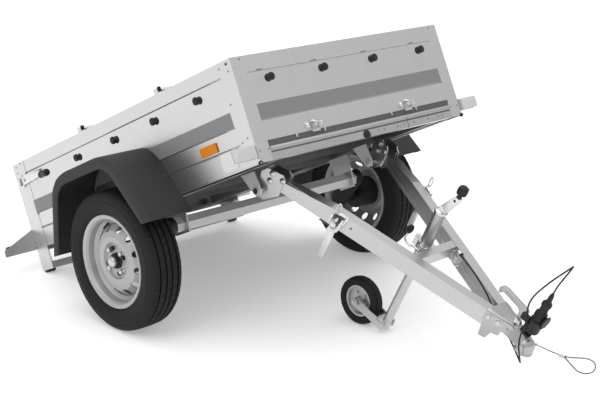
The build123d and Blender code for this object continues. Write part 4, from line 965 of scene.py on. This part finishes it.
lo = [left_inside(t, off, n) for t, off, n in ((662, 0, 46), (694, 0, 46), (694, 0, 108), (662, 0, 108))]
hi = [left_inside(t, off, n) for t, off, n in ((662, 2.5, 46), (694, 2.5, 46), (694, 2.5, 108), (662, 2.5, 108))]
A, B = [bm.verts.new(p) for p in lo], [bm.verts.new(p) for p in hi]
bm.faces.new(B)
bm.faces.new(list(reversed(A)))
for i in range(4):
    bm.faces.new((A[i], A[(i + 1) % 4], B[(i + 1) % 4], B[i]))
along = left_inside(1, 0, 0) - left_inside(0, 0, 0)
lathe(bm, left_inside(672, 9, 100), along, [(5.5, 0), (8, 0), (8.6, 1), (8.6, 15), (8, 16), (5.5, 16)], 24, closed=True)
hexhead(bm, left_inside(678, 2.5, 66), left_inside(0, 1, 0) - left_inside(0, 0, 0), 12, 6)
tube_path(bm, smooth_line([left_inside(662, 6, 100), left_inside(648, 12, 84), left_inside(660, 16, 58), left_inside(688, 14, 48), left_inside(700, 8, 60)], 6), 2.6, 10)
finish_mesh("lead_clip", bm, BAR, "drawbar", "zinc")
bm = bmesh.new()
lathe(bm, left_inside(680, 9, 100), along, [(0, 0), (7, 0), (7.2, 2), (6, 12), (4.4, 24), (4.0, 30), (0, 30)], 24)
finish_mesh("lead_boot", bm, BAR, "drawbar", "black", ("lead_gland",))

# ------------------------------------------------------------------ stage and light
fl = bpy.data.meshes.new("floor")
fl.from_pydata([(-40, -40, 0), (40, -40, 0), (40, 40, 0), (-40, 40, 0)], [], [(0, 1, 2, 3)])
floor = bpy.data.objects.new("floor", fl)
scene.collection.objects.link(floor)
fm, fnt, fb = material("floor_pale")
fb.inputs["Roughness"].default_value = 0.9
fb.inputs["Base Color"].default_value = (0.86, 0.86, 0.86, 1)
fb.inputs["Emission Color"].default_value = (1, 1, 1, 1)
fb.inputs["Emission Strength"].default_value = 0.30
fl.materials.append(fm)

scene.view_settings.view_transform = "Standard"
world = bpy.data.worlds.new("studio")
scene.world = world
world.use_nodes = True
wn = world.node_tree
bg = wn.nodes["Background"]
tc = wn.nodes.new("ShaderNodeTexCoord")
sep = wn.nodes.new("ShaderNodeSeparateXYZ")
wn.links.new(tc.outputs["Generated"], sep.inputs["Vector"])
height = ramp(wn, sep.outputs["Z"], ((0.0, (0.50, 0.50, 0.51)), (0.10, (0.62, 0.62, 0.63)), (0.42, (0.92, 0.92, 0.92)), (0.8, (1.0, 1.0, 1.0))))
sideways = wn.nodes.new("ShaderNodeMapRange")
for k, v in (("From Min", -0.3), ("From Max", 0.7), ("To Min", 1.0), ("To Max", 0.88)):
    sideways.inputs[k].default_value = v
wn.links.new(sep.outputs["Y"], sideways.inputs["Value"])
mul = wn.nodes.new("ShaderNodeVectorMath")
mul.operation = "SCALE"
wn.links.new(height, mul.inputs[0])
wn.links.new(sideways.outputs["Result"], mul.inputs["Scale"])
rays = wn.nodes.new("ShaderNodeLightPath")                      # the backdrop itself stays pale from every side
seen = wn.nodes.new("ShaderNodeMix")
seen.data_type = "RGBA"
wn.links.new(rays.outputs["Is Camera Ray"], seen.inputs[0])
wn.links.new(mul.outputs["Vector"], seen.inputs[6])
seen.inputs[7].default_value = (1.0, 1.0, 1.0, 1)
wn.links.new(seen.outputs[2], bg.inputs["Color"])
bg.inputs["Strength"].default_value = 1.0


def area(name, loc, target, size, power, colour=(1, 1, 1)):
    ld = bpy.data.lights.new(name, "AREA")
    ld.shape = "RECTANGLE"
    ld.size, ld.size_y = size
    ld.energy = power
    ld.color = colour
    ob = bpy.data.objects.new(name, ld)
    scene.collection.objects.link(ob)
    ob.location = loc
    ob.rotation_euler = (Vector(target) - Vector(loc)).to_track_quat("-Z", "Y").to_euler()
    return ob


area("key", (1.0, -7.5, 6.5), (0, 0, 0.3), (6, 4), 90)
area("top", (0.3, 0.5, 8.5), (0, 0, 0.2), (9, 9), 250)
